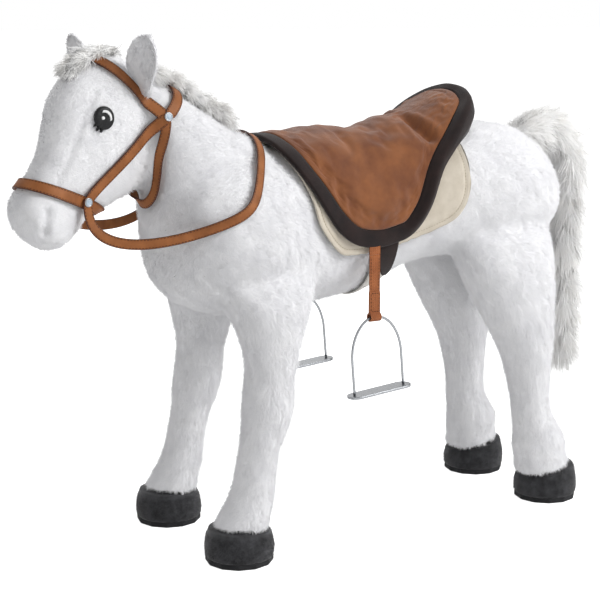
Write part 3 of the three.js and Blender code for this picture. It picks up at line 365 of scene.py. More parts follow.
def relax(points: Array, edges: Array, times: int) -> Array:
    """Moves points towards the mean of their neighbours.

    Args:
        points: The mesh's points.
        edges: Pairs of point numbers.
        times: Number of passes, each of which moves a point halfway.

    Returns:
        The moved points.
    """
    a, b = edges[:, 0], edges[:, 1]
    count = len(points)
    degree = np.bincount(a, minlength=count) + np.bincount(b, minlength=count)
    for _ in range(times):
        sums = [np.bincount(a, points[b, i], count) + np.bincount(b, points[a, i], count) for i in range(3)]
        points = 0.5 * points + 0.5 * np.stack(sums, axis=1) / np.maximum(degree, 1)[:, None]
    return points


def even_skin(
    name: str, points: Array, faces: Faces, material: Material, voxel: float, passes: int
) -> tuple[Object, Array]:
    """Makes one even, smoothed skin round a form.

    Args:
        name: The piece's name.
        points: The form's points.
        faces: The form's faces.
        material: The skin's finish.
        voxel: Size of the skin's faces.
        passes: Number of smoothing passes.

    Returns:
        The skin and its points.
    """
    skin = build_mesh(name, points, faces, [])
    skin.modifiers.new("skin", "REMESH").voxel_size = voxel * METRE
    apply_modifiers(skin)
    skin.data.materials.append(material)
    skin.data.polygons.foreach_set("use_smooth", np.ones(len(skin.data.polygons), bool))
    places = relax(points_of(skin), edges_of(skin), passes)
    set_points(skin, places)
    return skin, places


def frame_tree(names: Sequence[str]) -> BVHTree:
    """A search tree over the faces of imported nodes, in millimetres."""
    points: list[list[float]] = []
    faces: Faces = []
    for name in names:
        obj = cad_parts[name]
        base = len(points)
        points += points_of(obj).tolist()
        faces += [tuple(base + v for v in p.vertices) for p in obj.data.polygons]
    return BVHTree.FromPolygons(points, faces)


def dress_node(name: str, material: Material, bevel: float = 0) -> None:
    """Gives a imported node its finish, and a small bevel on its hard edges.

    Args:
        name: The node.
        material: Its finish.
        bevel: Width of the bevel in millimetres, or 0 for none.
    """
    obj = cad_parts[name]
    obj.data.materials.clear()
    obj.data.materials.append(material)
    if bevel:
        edge = obj.modifiers.new("edge", "BEVEL")
        edge.width, edge.segments, edge.angle_limit = bevel * METRE, 2, math.radians(35)


# ---------------------------------------------------------------- finishes


def linear(colour: str) -> tuple[float, float, float, float]:
    """The linear value of an sRGB hex colour."""
    parts = [int(colour[i : i + 2], 16) / 255 for i in (1, 3, 5)]
    made = [p / 12.92 if p <= 0.04045 else ((p + 0.055) / 1.055) ** 2.4 for p in parts]
    return (made[0], made[1], made[2], 1.0)


def add_node(
    tree: NodeTree,
    kind: str,
    settings: dict[str, object] | None = None,
    links: dict[str, Socket] | None = None,
) -> bpy.types.Node:
    """Adds a shader node with its settings and links.

    Args:
        tree: The node tree.
        kind: The node's type name.
        settings: Properties or input values by name.
        links: Output sockets by the name of the input that each goes to.

    Returns:
        The new node.
    """
    node = tree.nodes.new(kind)
    for name, value in (settings or {}).items():
        if hasattr(node, name):
            setattr(node, name, value)
        else:
            node.inputs[name].default_value = value
    for name, socket in (links or {}).items():
        tree.links.new(socket, node.inputs[name])
    return node


def join(
    tree: NodeTree,
    kind: str,
    sockets: Sequence[Socket],
    first: int = 0,
    settings: dict[str, object] | None = None,
    links: dict[str, Socket] | None = None,
) -> Socket:
    """Adds a shader node that joins sockets, such as the larger of two values or a mix of two shaders.

    Args:
        tree: The node tree.
        kind: The node's type name.
        sockets: The output sockets to join.
        first: Number of the input that takes the first of them.
        settings: Properties or input values by name.
        links: Further output sockets by the name of the input that each goes to.

    Returns:
        The node's output.
    """
    node = add_node(tree, kind, settings, links)
    for number, socket in enumerate(sockets, first):
        tree.links.new(socket, node.inputs[number])
    return node.outputs[0]


def bare_material(name: str) -> tuple[Material, NodeTree]:
    """A new material and its node tree, without nodes."""
    material = bpy.data.materials.new(name)
    material.use_nodes = True
    material.node_tree.nodes.clear()
    return material, material.node_tree


class Grain(Enum):
    """How a surface's small relief is laid."""

    FUZZ = "fuzz"
    NAP = "nap"
    WEAVE = "weave"
    PEBBLE = "pebble"


@dataclass(frozen=True)
class SoftFinish:
    """A cloth, pile or imitation leather, with patches of two colours and a fine relief."""

    name: str
    colour: str
    shade: str
    grain: Grain
    patch_size: float
    grain_size: float
    relief: float
    roughness: float
    sheen: float
    mix: float = 0.5
    through: float = 0.0

    def build(self) -> Material:
        """Makes the material."""
        material, tree = bare_material(self.name)
        place = add_node(tree, "ShaderNodeTexCoord").outputs["Object"]
        patches = add_node(
            tree,
            "ShaderNodeTexNoise",
            {"Scale": 1 / (self.patch_size * METRE), "Detail": 3.0, "Roughness": 0.6},
            {"Vector": place},
        )
        ramp = add_node(tree, "ShaderNodeValToRGB", links={"Fac": patches.outputs["Fac"]})
        ramp.color_ramp.elements[0].position = self.mix - 0.18
        ramp.color_ramp.elements[0].color = linear(self.shade)
        ramp.color_ramp.elements[1].position = self.mix + 0.18
        ramp.color_ramp.elements[1].color = linear(self.colour)
        height = self.relief_socket(tree, place)
        bump = add_node(
            tree,
            "ShaderNodeBump",
            {"Strength": 1.0, "Distance": self.relief * METRE},
            {"Height": height},
        )
        shader = add_node(
            tree,
            "ShaderNodeBsdfPrincipled",
            {
                "Roughness": self.roughness,
                "IOR": 1.5,
                "Specular IOR Level": 0.25,
                "Sheen Weight": self.sheen,
                "Sheen Roughness": 0.5,
            },
            {"Base Color": ramp.outputs["Color"], "Normal": bump.outputs["Normal"]},
        )
        surface = shader.outputs["BSDF"]
        if self.through:
            lit = add_node(tree, "ShaderNodeBsdfTranslucent", links={"Color": ramp.outputs["Color"]})
            shaders = (surface, lit.outputs["BSDF"])
            surface = join(tree, "ShaderNodeMixShader", shaders, 1, {"Fac": self.through})
        add_node(tree, "ShaderNodeOutputMaterial", links={"Surface": surface})
        return material

    def relief_socket(self, tree: NodeTree, place: Socket) -> Socket:
        """The height of the fine relief, for the bump.

        Args:
            tree: The material's node tree.
            place: The socket of the surface's own coordinates.

        Returns:
            The socket that holds the height.
        """
        scale = 1 / (self.grain_size * METRE)
        if self.grain is Grain.WEAVE:
            threads = [
                add_node(
                    tree,
                    "ShaderNodeTexWave",
                    {"bands_direction": way, "Scale": scale / 6.28, "Distortion": 0.4, "Detail": 1.0},
                    {"Vector": place},
                ).outputs["Fac"]
                for way in ("Y", "Z")
            ]
            return join(tree, "ShaderNodeMath", threads, settings={"operation": "MAXIMUM"})
        if self.grain is Grain.PEBBLE:
            return add_node(
                tree, "ShaderNodeTexVoronoi", {"feature": "SMOOTH_F1", "Scale": scale}, {"Vector": place}
            ).outputs["Distance"]
        detail = 2.0 if self.grain is Grain.NAP else 6.0
        return add_node(
            tree,
            "ShaderNodeTexNoise",
            {"Scale": scale, "Detail": detail, "Roughness": 0.7},
            {"Vector": place},
        ).outputs["Fac"]


@dataclass(frozen=True)
class MetalFinish:
    """A plated or lacquered steel, with fine scratches that vary its gloss."""

    name: str
    colour: str
    low_roughness: float
    high_roughness: float
    scratch_size: float

    def build(self) -> Material:
        """Makes the material."""
        material, tree = bare_material(self.name)
        place = add_node(tree, "ShaderNodeTexCoord").outputs["Object"]
        marks = add_node(
            tree,
            "ShaderNodeTexNoise",
            {"Scale": 1 / (self.scratch_size * METRE), "Detail": 4.0},
            {"Vector": place},
        )
        gloss = add_node(
            tree,
            "ShaderNodeMapRange",
            {"To Min": self.low_roughness, "To Max": self.high_roughness},
            {"Value": marks.outputs["Fac"]},
        )
        shader = add_node(
            tree,
            "ShaderNodeBsdfPrincipled",
            {"Base Color": linear(self.colour), "Metallic": 1.0},
            {"Roughness": gloss.outputs["Result"]},
        )
        add_node(tree, "ShaderNodeOutputMaterial", links={"Surface": shader.outputs["BSDF"]})
        return material


@dataclass
class Finishes:
    """Every finish of the horse, each named for what it is and how it was made."""

    # Short polyester pile, brushed: white with soft grey hollows, no gloss, a faint bright rim.
    plush: Material = field(init=False)
    # The same pile as single fibres: a little brighter than the skin, and light comes through them.
    pile: Material = field(init=False)
    # Long polyester pile, combed: pure white, and light comes through it.
    long_pile: Material = field(init=False)
    # Charcoal pile, sheared short: dark, with a grey bloom where it faces the light.
    dark_pile: Material = field(init=False)
    # Needle felt, pressed: fine fuzz without threads, pale on the blanket and dark under the hooves.
    felt: Material = field(init=False)
    sole_felt: Material = field(init=False)
    # Imitation suede, brushed: darker patches where the nap lies over, near black on the trim.
    suede: Material = field(init=False)
    dark_suede: Material = field(init=False)
    # Imitation leather strap, cut and edge-painted: brown with a fine pebble grain.
    strap: Material = field(init=False)
    strap_edge: Material = field(init=False)
    # Spun polyester thread, sewn or embroidered: slightly glossy, black and white in the eyes.
    strap_thread: Material = field(init=False)
    felt_thread: Material = field(init=False)
    black_thread: Material = field(init=False)
    white_thread: Material = field(init=False)
    # Cotton webbing, woven: threads 1.2 mm apart, which show as cross ribs.
    webbing: Material = field(init=False)
    # Stirrup strap: polyester webbing with a raised rib across at every thread.
    ribbed: Material = field(init=False)
    # Steel wire and plate, nickel-plated and polished: grey, with soft smears.
    nickel: Material = field(init=False)
    # Pale blue enamel in the rivet's middle, fired on.
    enamel: Material = field(init=False)
    # Steel tube, lacquered black.
    lacquer: Material = field(init=False)

    def __post_init__(self) -> None:
        """Makes every material."""
        fuzz, nap, weave, pebble = Grain.FUZZ, Grain.NAP, Grain.WEAVE, Grain.PEBBLE
        self.plush = SoftFinish(
            "brushed_plush", "#f7f7f8", "#ebebed", fuzz, 26, 2.2, 0.8, 0.95, 0.1
        ).build()
        self.pile = SoftFinish(
            "plush_pile", "#fbfbfc", "#f2f2f4", fuzz, 34, 6, 0.0, 0.9, 0.1, through=0.22
        ).build()
        self.long_pile = SoftFinish(
            "combed_long_pile", "#ffffff", "#fbfaf8", fuzz, 20, 5, 0.0, 0.85, 0.1, through=0.28
        ).build()
        self.dark_pile = SoftFinish(
            "charcoal_pile", "#444447", "#28282a", fuzz, 16, 2, 0.6, 0.9, 0.35
        ).build()
        self.felt = SoftFinish(
            "needle_felt", "#d3cabb", "#c5bbab", fuzz, 22, 1.6, 0.5, 0.95, 0.15
        ).build()
        self.sole_felt = SoftFinish(
            "sole_felt", "#2a2a2c", "#1f1f21", fuzz, 18, 1.6, 0.4, 0.95, 0.1
        ).build()
        self.suede = SoftFinish(
            "brushed_suede", "#8c5733", "#6e4129", nap, 46, 1.1, 0.3, 0.92, 0.25
        ).build()
        self.dark_suede = SoftFinish(
            "dark_suede", "#251917", "#170f0f", nap, 30, 1.1, 0.25, 0.92, 0.12
        ).build()
        self.strap = SoftFinish(
            "grained_strap", "#9c6136", "#804c26", pebble, 24, 1.3, 0.14, 0.55, 0.0
        ).build()
        self.strap_edge = SoftFinish(
            "painted_edge", "#4a2415", "#391b10", nap, 8, 1, 0.1, 0.5, 0.0
        ).build()
        self.strap_thread = SoftFinish(
            "strap_thread", "#4a2510", "#3a1c0c", nap, 6, 0.6, 0.05, 0.6, 0.0
        ).build()
        self.felt_thread = SoftFinish(
            "felt_thread", "#b3a892", "#a2977f", nap, 6, 0.6, 0.05, 0.7, 0.0
        ).build()
        self.black_thread = SoftFinish(
            "black_satin_thread", "#0d0d0f", "#060607", nap, 3, 0.6, 0.1, 0.4, 0.0
        ).build()
        self.white_thread = SoftFinish(
            "white_satin_thread", "#efefef", "#dedede", nap, 3, 0.6, 0.1, 0.5, 0.1
        ).build()
        self.webbing = SoftFinish(
            "woven_webbing", "#e2e0da", "#d3d0c8", weave, 20, 1.2, 0.4, 0.85, 0.1
        ).build()
        self.ribbed = SoftFinish(
            "ribbed_webbing", "#a5633a", "#8a4f2c", weave, 22, 1.7, 0.6, 0.8, 0.1
        ).build()
        self.enamel = SoftFinish(
            "pale_blue_enamel", "#b4c2cf", "#a2b3c2", nap, 4, 1, 0.02, 0.25, 0.0
        ).build()
        self.nickel = MetalFinish("polished_nickel", "#8f9194", 0.2, 0.38, 7).build()
        self.lacquer = MetalFinish("black_lacquered_steel", "#3c3e42", 0.35, 0.55, 9).build()


# ---------------------------------------------------------------- forms of the stuffed body


@dataclass(frozen=True)
class Loft:
    """A stuffed form as rings of points from end to end."""

    rings: Array

    def mesh(self) -> tuple[Array, Faces]:
        """Points and outward faces of the closed form."""
        rows, columns, _ = self.rings.shape
        points = self.rings.reshape(-1, 3)
        return points, face_outwards(points, ring_faces(rows, columns, around=True))

    def tree(self) -> BVHTree:
        """A search tree over the form's faces."""
        points, faces = self.mesh()
        return BVHTree.FromPolygons(points.tolist(), faces)


@dataclass(frozen=True)
class TrunkForm:
    """The trunk: [along, underside, back, half width], as shares of its length, height and half width."""

    length: float = 714
    front_y: float = -286
    breast: float = 338
    height: float = 274
    half_width: float = 132
    widest: float = 0.48
    power: float = 2.2
    shares: Rows = (
        (0, 0.43, 0.66, 0.18), (0.011, 0.245, 0.76, 0.45), (0.039, 0.124, 0.847, 0.72),
        (0.077, 0.066, 0.9, 0.88), (0.125, 0.018, 0.92, 0.97), (0.195, 0, 0.92, 1),
        (0.265, 0.008, 0.92, 0.91), (0.348, 0.03, 0.915, 0.775), (0.46, 0.07, 0.9, 0.739),
        (0.571, 0.184, 0.912, 0.739), (0.682, 0.226, 0.97, 0.82), (0.794, 0.232, 1, 0.91),
        (0.877, 0.237, 0.97, 0.88), (0.94, 0.292, 0.869, 0.73), (0.982, 0.39, 0.737, 0.5),
        (1, 0.51, 0.62, 0.16),
    )

    def rows(self, times: int = 2) -> Array:
        """Rows of [y, underside, widest height, back, half width]."""
        place, low, high, wide = smoothed(self.shares, times).T
        bottom, top = self.breast + low * self.height, self.breast + high * self.height
        middle = bottom + (top - bottom) * self.widest
        return np.stack([self.front_y + place * self.length, bottom, middle, top, wide * self.half_width], 1)

    def loft(self) -> Loft:
        """The trunk's closed form."""
        rings = [
            ellipse_ring(np.array([0, y, middle]), X, Z, wide, top - middle, middle - bottom)
            for y, bottom, middle, top, wide in self.rows()
        ]
        return Loft(np.array(rings))

    def walk(self, y: float) -> Array:
        """The outline at y down the left side from the back: [way, x, z, normal x, normal z]."""
        _, bottom, middle, top, wide = read_table(self.rows(1), y)
        turn = np.linspace(0, math.pi, 97)
        c = np.sign(np.cos(turn)) * np.abs(np.cos(turn)) ** (2 / self.power)
        s = np.abs(np.sin(turn)) ** (2 / self.power)
        points = np.stack([wide * s, middle + np.where(c > 0, top - middle, middle - bottom) * c], 1)
        way = way_along(points)
        run = unit(np.gradient(points, axis=0))
        return np.column_stack([way, points, -run[:, 1], run[:, 0]])

    def over(self, y: float, drop: Array, height: Array) -> Pair:
        """Points over the skin and the outward directions there.

        Args:
            y: Place along the trunk.
            drop: Ways down the left side from the back, below zero on the right.
            height: Heights over the skin.

        Returns:
            The points and their outward directions.
        """
        walk = self.walk(y)
        x, z, nx, nz = (np.interp(np.abs(drop), walk[:, 0], walk[:, i]) for i in range(1, 5))
        out = unit(np.stack([nx, nz], 1))
        side = np.where(drop < 0, -1.0, 1.0)
        points = np.stack([side * (x + out[:, 0] * height), np.full(len(x), y), z + out[:, 1] * height], 1)
        return points, np.stack([side * out[:, 0], np.zeros(len(x)), out[:, 1]], 1)


@dataclass(frozen=True)
class NeckForm:
    """The neck: [along, up, half depth, half width], as shares of its own sizes."""

    base_y: float = -130
    base_z: float = 446
    reach: float = 191
    rise: float = 227
    half_depth: float = 115
    half_width: float = 104
    shares: Rows = (
        (0, 0, 1, 1), (0.126, 0.145, 1, 0.98), (0.267, 0.277, 0.975, 0.93), (0.403, 0.395, 0.915, 0.86),
        (0.513, 0.48, 0.805, 0.77), (0.576, 0.584, 0.67, 0.68), (0.644, 0.7, 0.525, 0.6),
        (0.743, 0.8, 0.44, 0.54), (0.88, 0.905, 0.38, 0.49), (1, 1, 0.25, 0.32),
    )

    def point(self, along: float, up: float) -> Array:
        """A point on the neck's own line, from shares of its reach and rise."""
        return np.array([0, self.base_y - along * self.reach, self.base_z + up * self.rise])

    def loft(self) -> Loft:
        """The neck's closed form."""
        back = unit(np.cross(self.point(1, 1) - self.point(0, 0), X))
        rings = [
            ellipse_ring(self.point(along, up), X, back, wide * self.half_width, depth, depth)
            for along, up, deep, wide in smoothed(self.shares, 1)
            for depth in [deep * self.half_depth]
        ]
        return Loft(np.array(rings))


@dataclass(frozen=True)
class HeadForm:
    """The head, turned a little to the left: [along, face, jaw, half width], as shares of its own sizes."""

    poll_y: float = -340
    crown_forward: float = -21
    crown_z: float = 711
    turn: float = 14
    slope: float = 53.13
    length: float = 293
    depth: float = 194
    half_width: float = 54
    widest: float = 0.56
    shares: Rows = (
        (0, 0.1, -0.06, 0.36), (0.035, 0.2, -0.18, 0.62), (0.1, 0.285, -0.34, 0.86),
        (0.18, 0.34, -0.48, 0.95), (0.28, 0.388, -0.615, 1), (0.383, 0.392, -0.66, 0.98),
        (0.475, 0.347, -0.605, 0.91), (0.57, 0.292, -0.505, 0.81), (0.67, 0.25, -0.395, 0.74),
        (0.755, 0.24, -0.325, 0.73), (0.84, 0.25, -0.31, 0.79), (0.915, 0.225, -0.275, 0.78),
        (0.97, 0.15, -0.215, 0.6), (1, 0.05, -0.13, 0.28),
    )

    @property
    def forward(self) -> Array:
        """The level direction in which the horse looks."""
        return between(-Y, X, self.turn)

    @property
    def side(self) -> Array:
        """The direction to the head's left."""
        return between(X, Y, self.turn)

    @property
    def down(self) -> Array:
        """The direction down along the face."""
        return between(self.forward, -Z, self.slope)

    @property
    def out(self) -> Array:
        """The direction out of the face."""
        return np.cross(self.down, self.side)

    def place(self, down: float, out: float) -> Array:
        """A place in the head's middle plane, from shares of its length and depth."""
        crown = np.array([0, self.poll_y, self.crown_z]) + self.forward * self.crown_forward
        return crown + self.down * down * self.length + self.out * out * self.depth

    def loft(self) -> Loft:
        """The head's closed form."""
        rings = []
        for place, face, jaw, wide in smoothed(self.shares, 1):
            middle = jaw + (face - jaw) * self.widest
            rings.append(
                ellipse_ring(
                    self.place(place, middle), self.side, self.out, wide * self.half_width,
                    (face - middle) * self.depth, (middle - jaw) * self.depth,
                )
            )
        return Loft(np.array(rings))


@dataclass(frozen=True)
class LegForm:
    """A leg over its hoof: [up, backward, half depth, half width, inward], as shares of its own sizes."""

    pair: str
    height: float
    half_depth: float
    half_width: float
    hoof_y: float
    half_track: float
    slope: float
    shares: Rows
    foot: float = 49.35
    slope_share: float = 0.16

    def loft(self, side: int) -> Loft:
        """The closed form of the leg on one side."""
        rings = []
        for up, back, deep, wide, inward in smoothed(self.shares, 1):
            centre = np.array(
                [
                    side * self.half_track * (1 - inward),
                    self.hoof_y + back * self.half_depth,
                    self.foot + (self.height - self.foot) * up,
                ]
            )
            tilt = self.slope * max(0, 1 - up / self.slope_share)
            deep, wide = deep * self.half_depth, wide * self.half_width
            rings.append(ellipse_ring(centre, X, Y, wide, deep, deep, tilt, power=2))
        return Loft(np.array(rings))


LEGS = {
    "front": LegForm(
        "front", 440, 80, 52, -207, 113, -2,
        (
            (0, 0.03, 0.57, 0.88, 0), (0.055, 0.14, 0.5, 0.78, 0), (0.11, 0.27, 0.47, 0.7, 0.01),
            (0.195, 0.36, 0.42, 0.63, 0.015), (0.28, 0.44, 0.42, 0.63, 0.02), (0.355, 0.56, 0.47, 0.7, 0.03),
            (0.42, 0.62, 0.53, 0.78, 0.04), (0.49, 0.66, 0.52, 0.77, 0.045), (0.565, 0.7, 0.51, 0.76, 0.05),
            (0.64, 0.73, 0.57, 0.81, 0.07), (0.73, 0.75, 0.72, 0.91, 0.11), (0.835, 0.76, 0.92, 1, 0.18),
            (0.92, 0.78, 0.97, 0.86, 0.3), (1, 0.78, 0.7, 0.55, 0.42),
        ),
    ),
    "hind": LegForm(
        "hind", 474, 98, 53, 375, 96, 9,
        (
            (0, -0.06, 0.5, 0.89, 0), (0.06, -0.09, 0.48, 0.77, 0.03), (0.1, -0.1, 0.51, 0.76, 0.06),
            (0.148, -0.15, 0.45, 0.72, 0.07), (0.22, -0.27, 0.37, 0.65, 0.08), (0.31, -0.3, 0.38, 0.68, 0.1),
            (0.425, -0.36, 0.44, 0.77, 0.12), (0.505, -0.42, 0.57, 0.84, 0.14),
            (0.63, -0.57, 0.73, 0.94, 0.15), (0.785, -0.77, 0.92, 1, 0.19),
            (0.9, -0.85, 0.99, 0.97, 0.27), (1, -0.87, 0.75, 0.68, 0.38),
        ),
    ),
}
TRUNK = TrunkForm()
NECK = NeckForm()
HEAD = HeadForm()


class Skin:
    """Where a ray from inside several joined forms comes out of all of them."""

    def __init__(self, *lofts: Loft) -> None:
        """Keeps a search tree of each form."""
        self.trees = [loft.tree() for loft in lofts]

    def exit(self, origin: Array, way: Array) -> Array:
        """The point where the ray leaves the joined forms.

        Args:
            origin: A point inside one of the forms.
            way: The ray's direction.

        Returns:
            The last point of the run inside.
        """
        reached = 0.0
        for _ in range(5):
            start = Vector(origin + way * (reached + 0.01))
            hits = [tree.ray_cast(start, Vector(way)) for tree in self.trees]
            steps = [hit[3] for hit in hits if hit[0] is not None and hit[1].dot(Vector(way)) > 0]
            if not steps:
                break
            reached += max(steps) + 0.01
        return origin + way * reached

    def seat(self, origin: Array, way: Array, across: Array, width: float) -> Pair:
        """Where a strap lies on the forms: its middle and its outward direction.

        Args:
            origin: A point inside, under the strap.
            way: Direction from it to the strap.
            across: Direction of the strap's width.
            width: The strap's width.

        Returns:
            The point on the skin and the outward direction.
        """
        a = self.exit(origin + across * width / 2, way)
        b = self.exit(origin - across * width / 2, way)
        edge = unit(a - b)
        return (a + b) / 2, unit(way - edge * np.dot(way, edge))


# ---------------------------------------------------------------- pile


@dataclass(frozen=True)
class Seam:
    """A sewn line on the skin, which draws the skin in and parts the pile."""

    points: Array
    reach: float = 5
    depth: float = 4

    def nearness(self, places: Array) -> Array:
        """How near each place is to the seam, from 0 to 1."""
        nearest = np.full(len(places), 1e9)
        for p in self.points:
            nearest = np.minimum(nearest, np.sum((places - p) ** 2, axis=1))
        return np.exp(-nearest / self.reach**2)


def strand_mesh(paths: Array, widths: Array, normals: Array) -> tuple[Array, Array, Array]:
    """Tapering fibres as thin ribbons along their paths, turned to face away from the skin.

    Args:
        paths: Points of each fibre from root to tip, (fibres, points, 3).
        widths: Half width at each fibre's root.
        normals: The skin's direction at each root.

    Returns:
        Points, triangles and the point directions of all the fibres.
    """
    count, steps, _ = paths.shape
    along = unit(np.gradient(paths, axis=1))
    lean = np.cross(paths[:, -1] - paths[:, 0], normals)
    spare = np.cross(along[:, 0], np.where(np.abs(along[:, 0, 2:3]) > 0.8, X, Z))
    wide = unit(lean + 0.12 * np.linalg.norm(paths[:, -1] - paths[:, 0], axis=1)[:, None] * spare)
    wide = unit(wide[:, None] - along * np.sum(wide[:, None] * along, axis=2, keepdims=True))
    face = np.cross(wide, along)
    taper = (1 - np.arange(steps - 1) / (steps - 1)) ** 0.7
    half = wide[:, :-1] * (widths[:, None] * taper[None])[..., None]
    left, right = paths[:, :-1] - half, paths[:, :-1] + half
    points = np.concatenate([np.stack([left, right], 2).reshape(count, -1, 3), paths[:, -1:]], axis=1)
    outs = np.concatenate([np.repeat(face[:, :-1], 2, axis=1), face[:, -1:]], axis=1)
    faces = []
    for r in range(steps - 2):
        a, b, c, d = 2 * r, 2 * r + 1, 2 * r + 3, 2 * r + 2
        faces += [(a, b, c), (a, c, d)]
    faces.append((2 * steps - 4, 2 * steps - 3, 2 * steps - 2))
    numbers = np.array(faces)[None] + (np.arange(count) * (2 * steps - 1))[:, None, None]
    return points.reshape(-1, 3), numbers.reshape(-1, 3), outs.reshape(-1, 3)


def scatter(obj: Object, count: int, rng: np.random.Generator) -> Pair:
    """Random places on a mesh, evenly by area, with the skin's direction at each.

    Args:
        obj: The mesh.
        count: Number of places.
        rng: The random source.

    Returns:
        The places and the outward directions.
    """
    mesh = obj.data
    mesh.calc_loop_triangles()
    corners = np.empty(len(mesh.loop_triangles) * 3, np.int32)
    mesh.loop_triangles.foreach_get("vertices", corners)
    corners = corners.reshape(-1, 3)
    points, normals = points_of(obj), normals_of(obj)
    a, b, c = (points[corners[:, i]] for i in range(3))
    area = np.linalg.norm(np.cross(b - a, c - a), axis=1)
    chosen = rng.choice(len(area), count, p=area / area.sum())
    u, v = rng.random(count), rng.random(count)
    u, v = np.where(u + v > 1, 1 - u, u), np.where(u + v > 1, 1 - v, v)
    share = np.stack([1 - u - v, u, v], 1)[..., None]
    return (points[corners[chosen]] * share).sum(1), unit((normals[corners[chosen]] * share).sum(1))


@dataclass(frozen=True)
class Pile:
    """Short pile on a skin: fibres that lean with the brushing, in small tufts."""

    spacing: float = 1.45
    width: float = 0.42
    lean: float = 1.2
    tuft: float = 15
    loose: float = 0.35
    steps: int = 2
    seed: int = 5

    def fibres(
        self,
        skin: Object,
        length: Callable[[Array], Array],
        comb: Callable[[Array], Array],
        cover: BVHTree | None,
        seams: Sequence[Seam] = (),
    ) -> "Fibres":
        """The fibres that no other piece covers.

        Args:
            skin: The mesh that the pile stands on.
            length: Gives the pile's length at places.
            comb: Gives the direction of brushing at places.
            cover: What lies over the skin, or None.
            seams: Sewn lines, where the pile is short.

        Returns:
            The fibres.
        """
        rng = np.random.default_rng(self.seed)
        area = sum(p.area for p in skin.data.polygons) / METRE**2
        root, normal = scatter(skin, int(area / self.spacing**2), rng)
        brush = comb(root)
        brush = unit(brush - normal * np.sum(brush * normal, axis=1, keepdims=True))
        tufts = np.stack([waves(root, self.tuft, self.seed + i) for i in range(3)], 1)
        way = unit(normal + brush * self.lean + tufts * 0.2 + rng.normal(size=root.shape) * self.loose)
        reach = length(root) * (0.78 + 0.44 * rng.random(len(root))) * (1 + 0.12 * tufts[:, 0])
        for seam in seams:
            reach = reach * (1 - 0.8 * seam.nearness(root))
        if cover is not None:
            kept = np.array([self.free(cover, p, n, w, r) for p, n, w, r in zip(root, normal, way, reach)])
            root, normal, way, reach = root[kept], normal[kept], way[kept], reach[kept]
        path = [root - normal * 0.5]
        for step in range(self.steps):
            share = (step + 1) / self.steps
            bend = unit(way + (way - normal) * 0.35 * (share - 0.5))
            path.append(path[-1] + bend * (reach / self.steps)[:, None])
        widths = self.width * (0.8 + 0.4 * rng.random(len(root)))
        return Fibres(np.stack(path, 1), widths, normal)

    @staticmethod
    def free(cover: BVHTree, root: Array, normal: Array, way: Array, reach: float) -> bool:
        """True where nothing lies over the root or in the fibre's way."""
        start = Vector(root - normal * 1.5)
        if cover.ray_cast(start, Vector(normal), 16)[0] is not None:
            return False
        return cover.ray_cast(start, Vector(way), reach + 2)[0] is None


@dataclass(frozen=True)
class Fibres:
    """Fibres of a pile: their paths, root radii and the skin's direction at each root."""

    paths: Array
    widths: Array
    normals: Array


def build_pile(
    name: str, fibres: Fibres, material: Material, body: str, slot: str, smooth: float = 0.7
) -> list[Object]:
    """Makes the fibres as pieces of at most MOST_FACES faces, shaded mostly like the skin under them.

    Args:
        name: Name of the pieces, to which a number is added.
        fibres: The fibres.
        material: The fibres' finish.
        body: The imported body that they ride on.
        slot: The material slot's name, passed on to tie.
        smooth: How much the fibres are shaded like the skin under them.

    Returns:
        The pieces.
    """
    steps = fibres.paths.shape[1]
    most = MOST_FACES // (2 * steps - 3)
    made = []
    for number, start in enumerate(range(0, len(fibres.paths), most), 1):
        part = slice(start, start + most)
        skin = fibres.normals[part]
        points, faces, outs = strand_mesh(fibres.paths[part], fibres.widths[part], skin)
        obj = build_mesh(f"{name}_{number}", points, faces, [material])
        skin = np.repeat(skin, 2 * steps - 1, axis=0)
        obj.data.normals_split_custom_set_from_vertices(unit(smooth * skin + (1 - smooth) * outs))
        tie(obj, body, slot)
        made.append(obj)
    log.info("%s: %d fibres in %d pieces", name, len(fibres.paths), len(made))
    return made


# ---------------------------------------------------------------- stuffed body


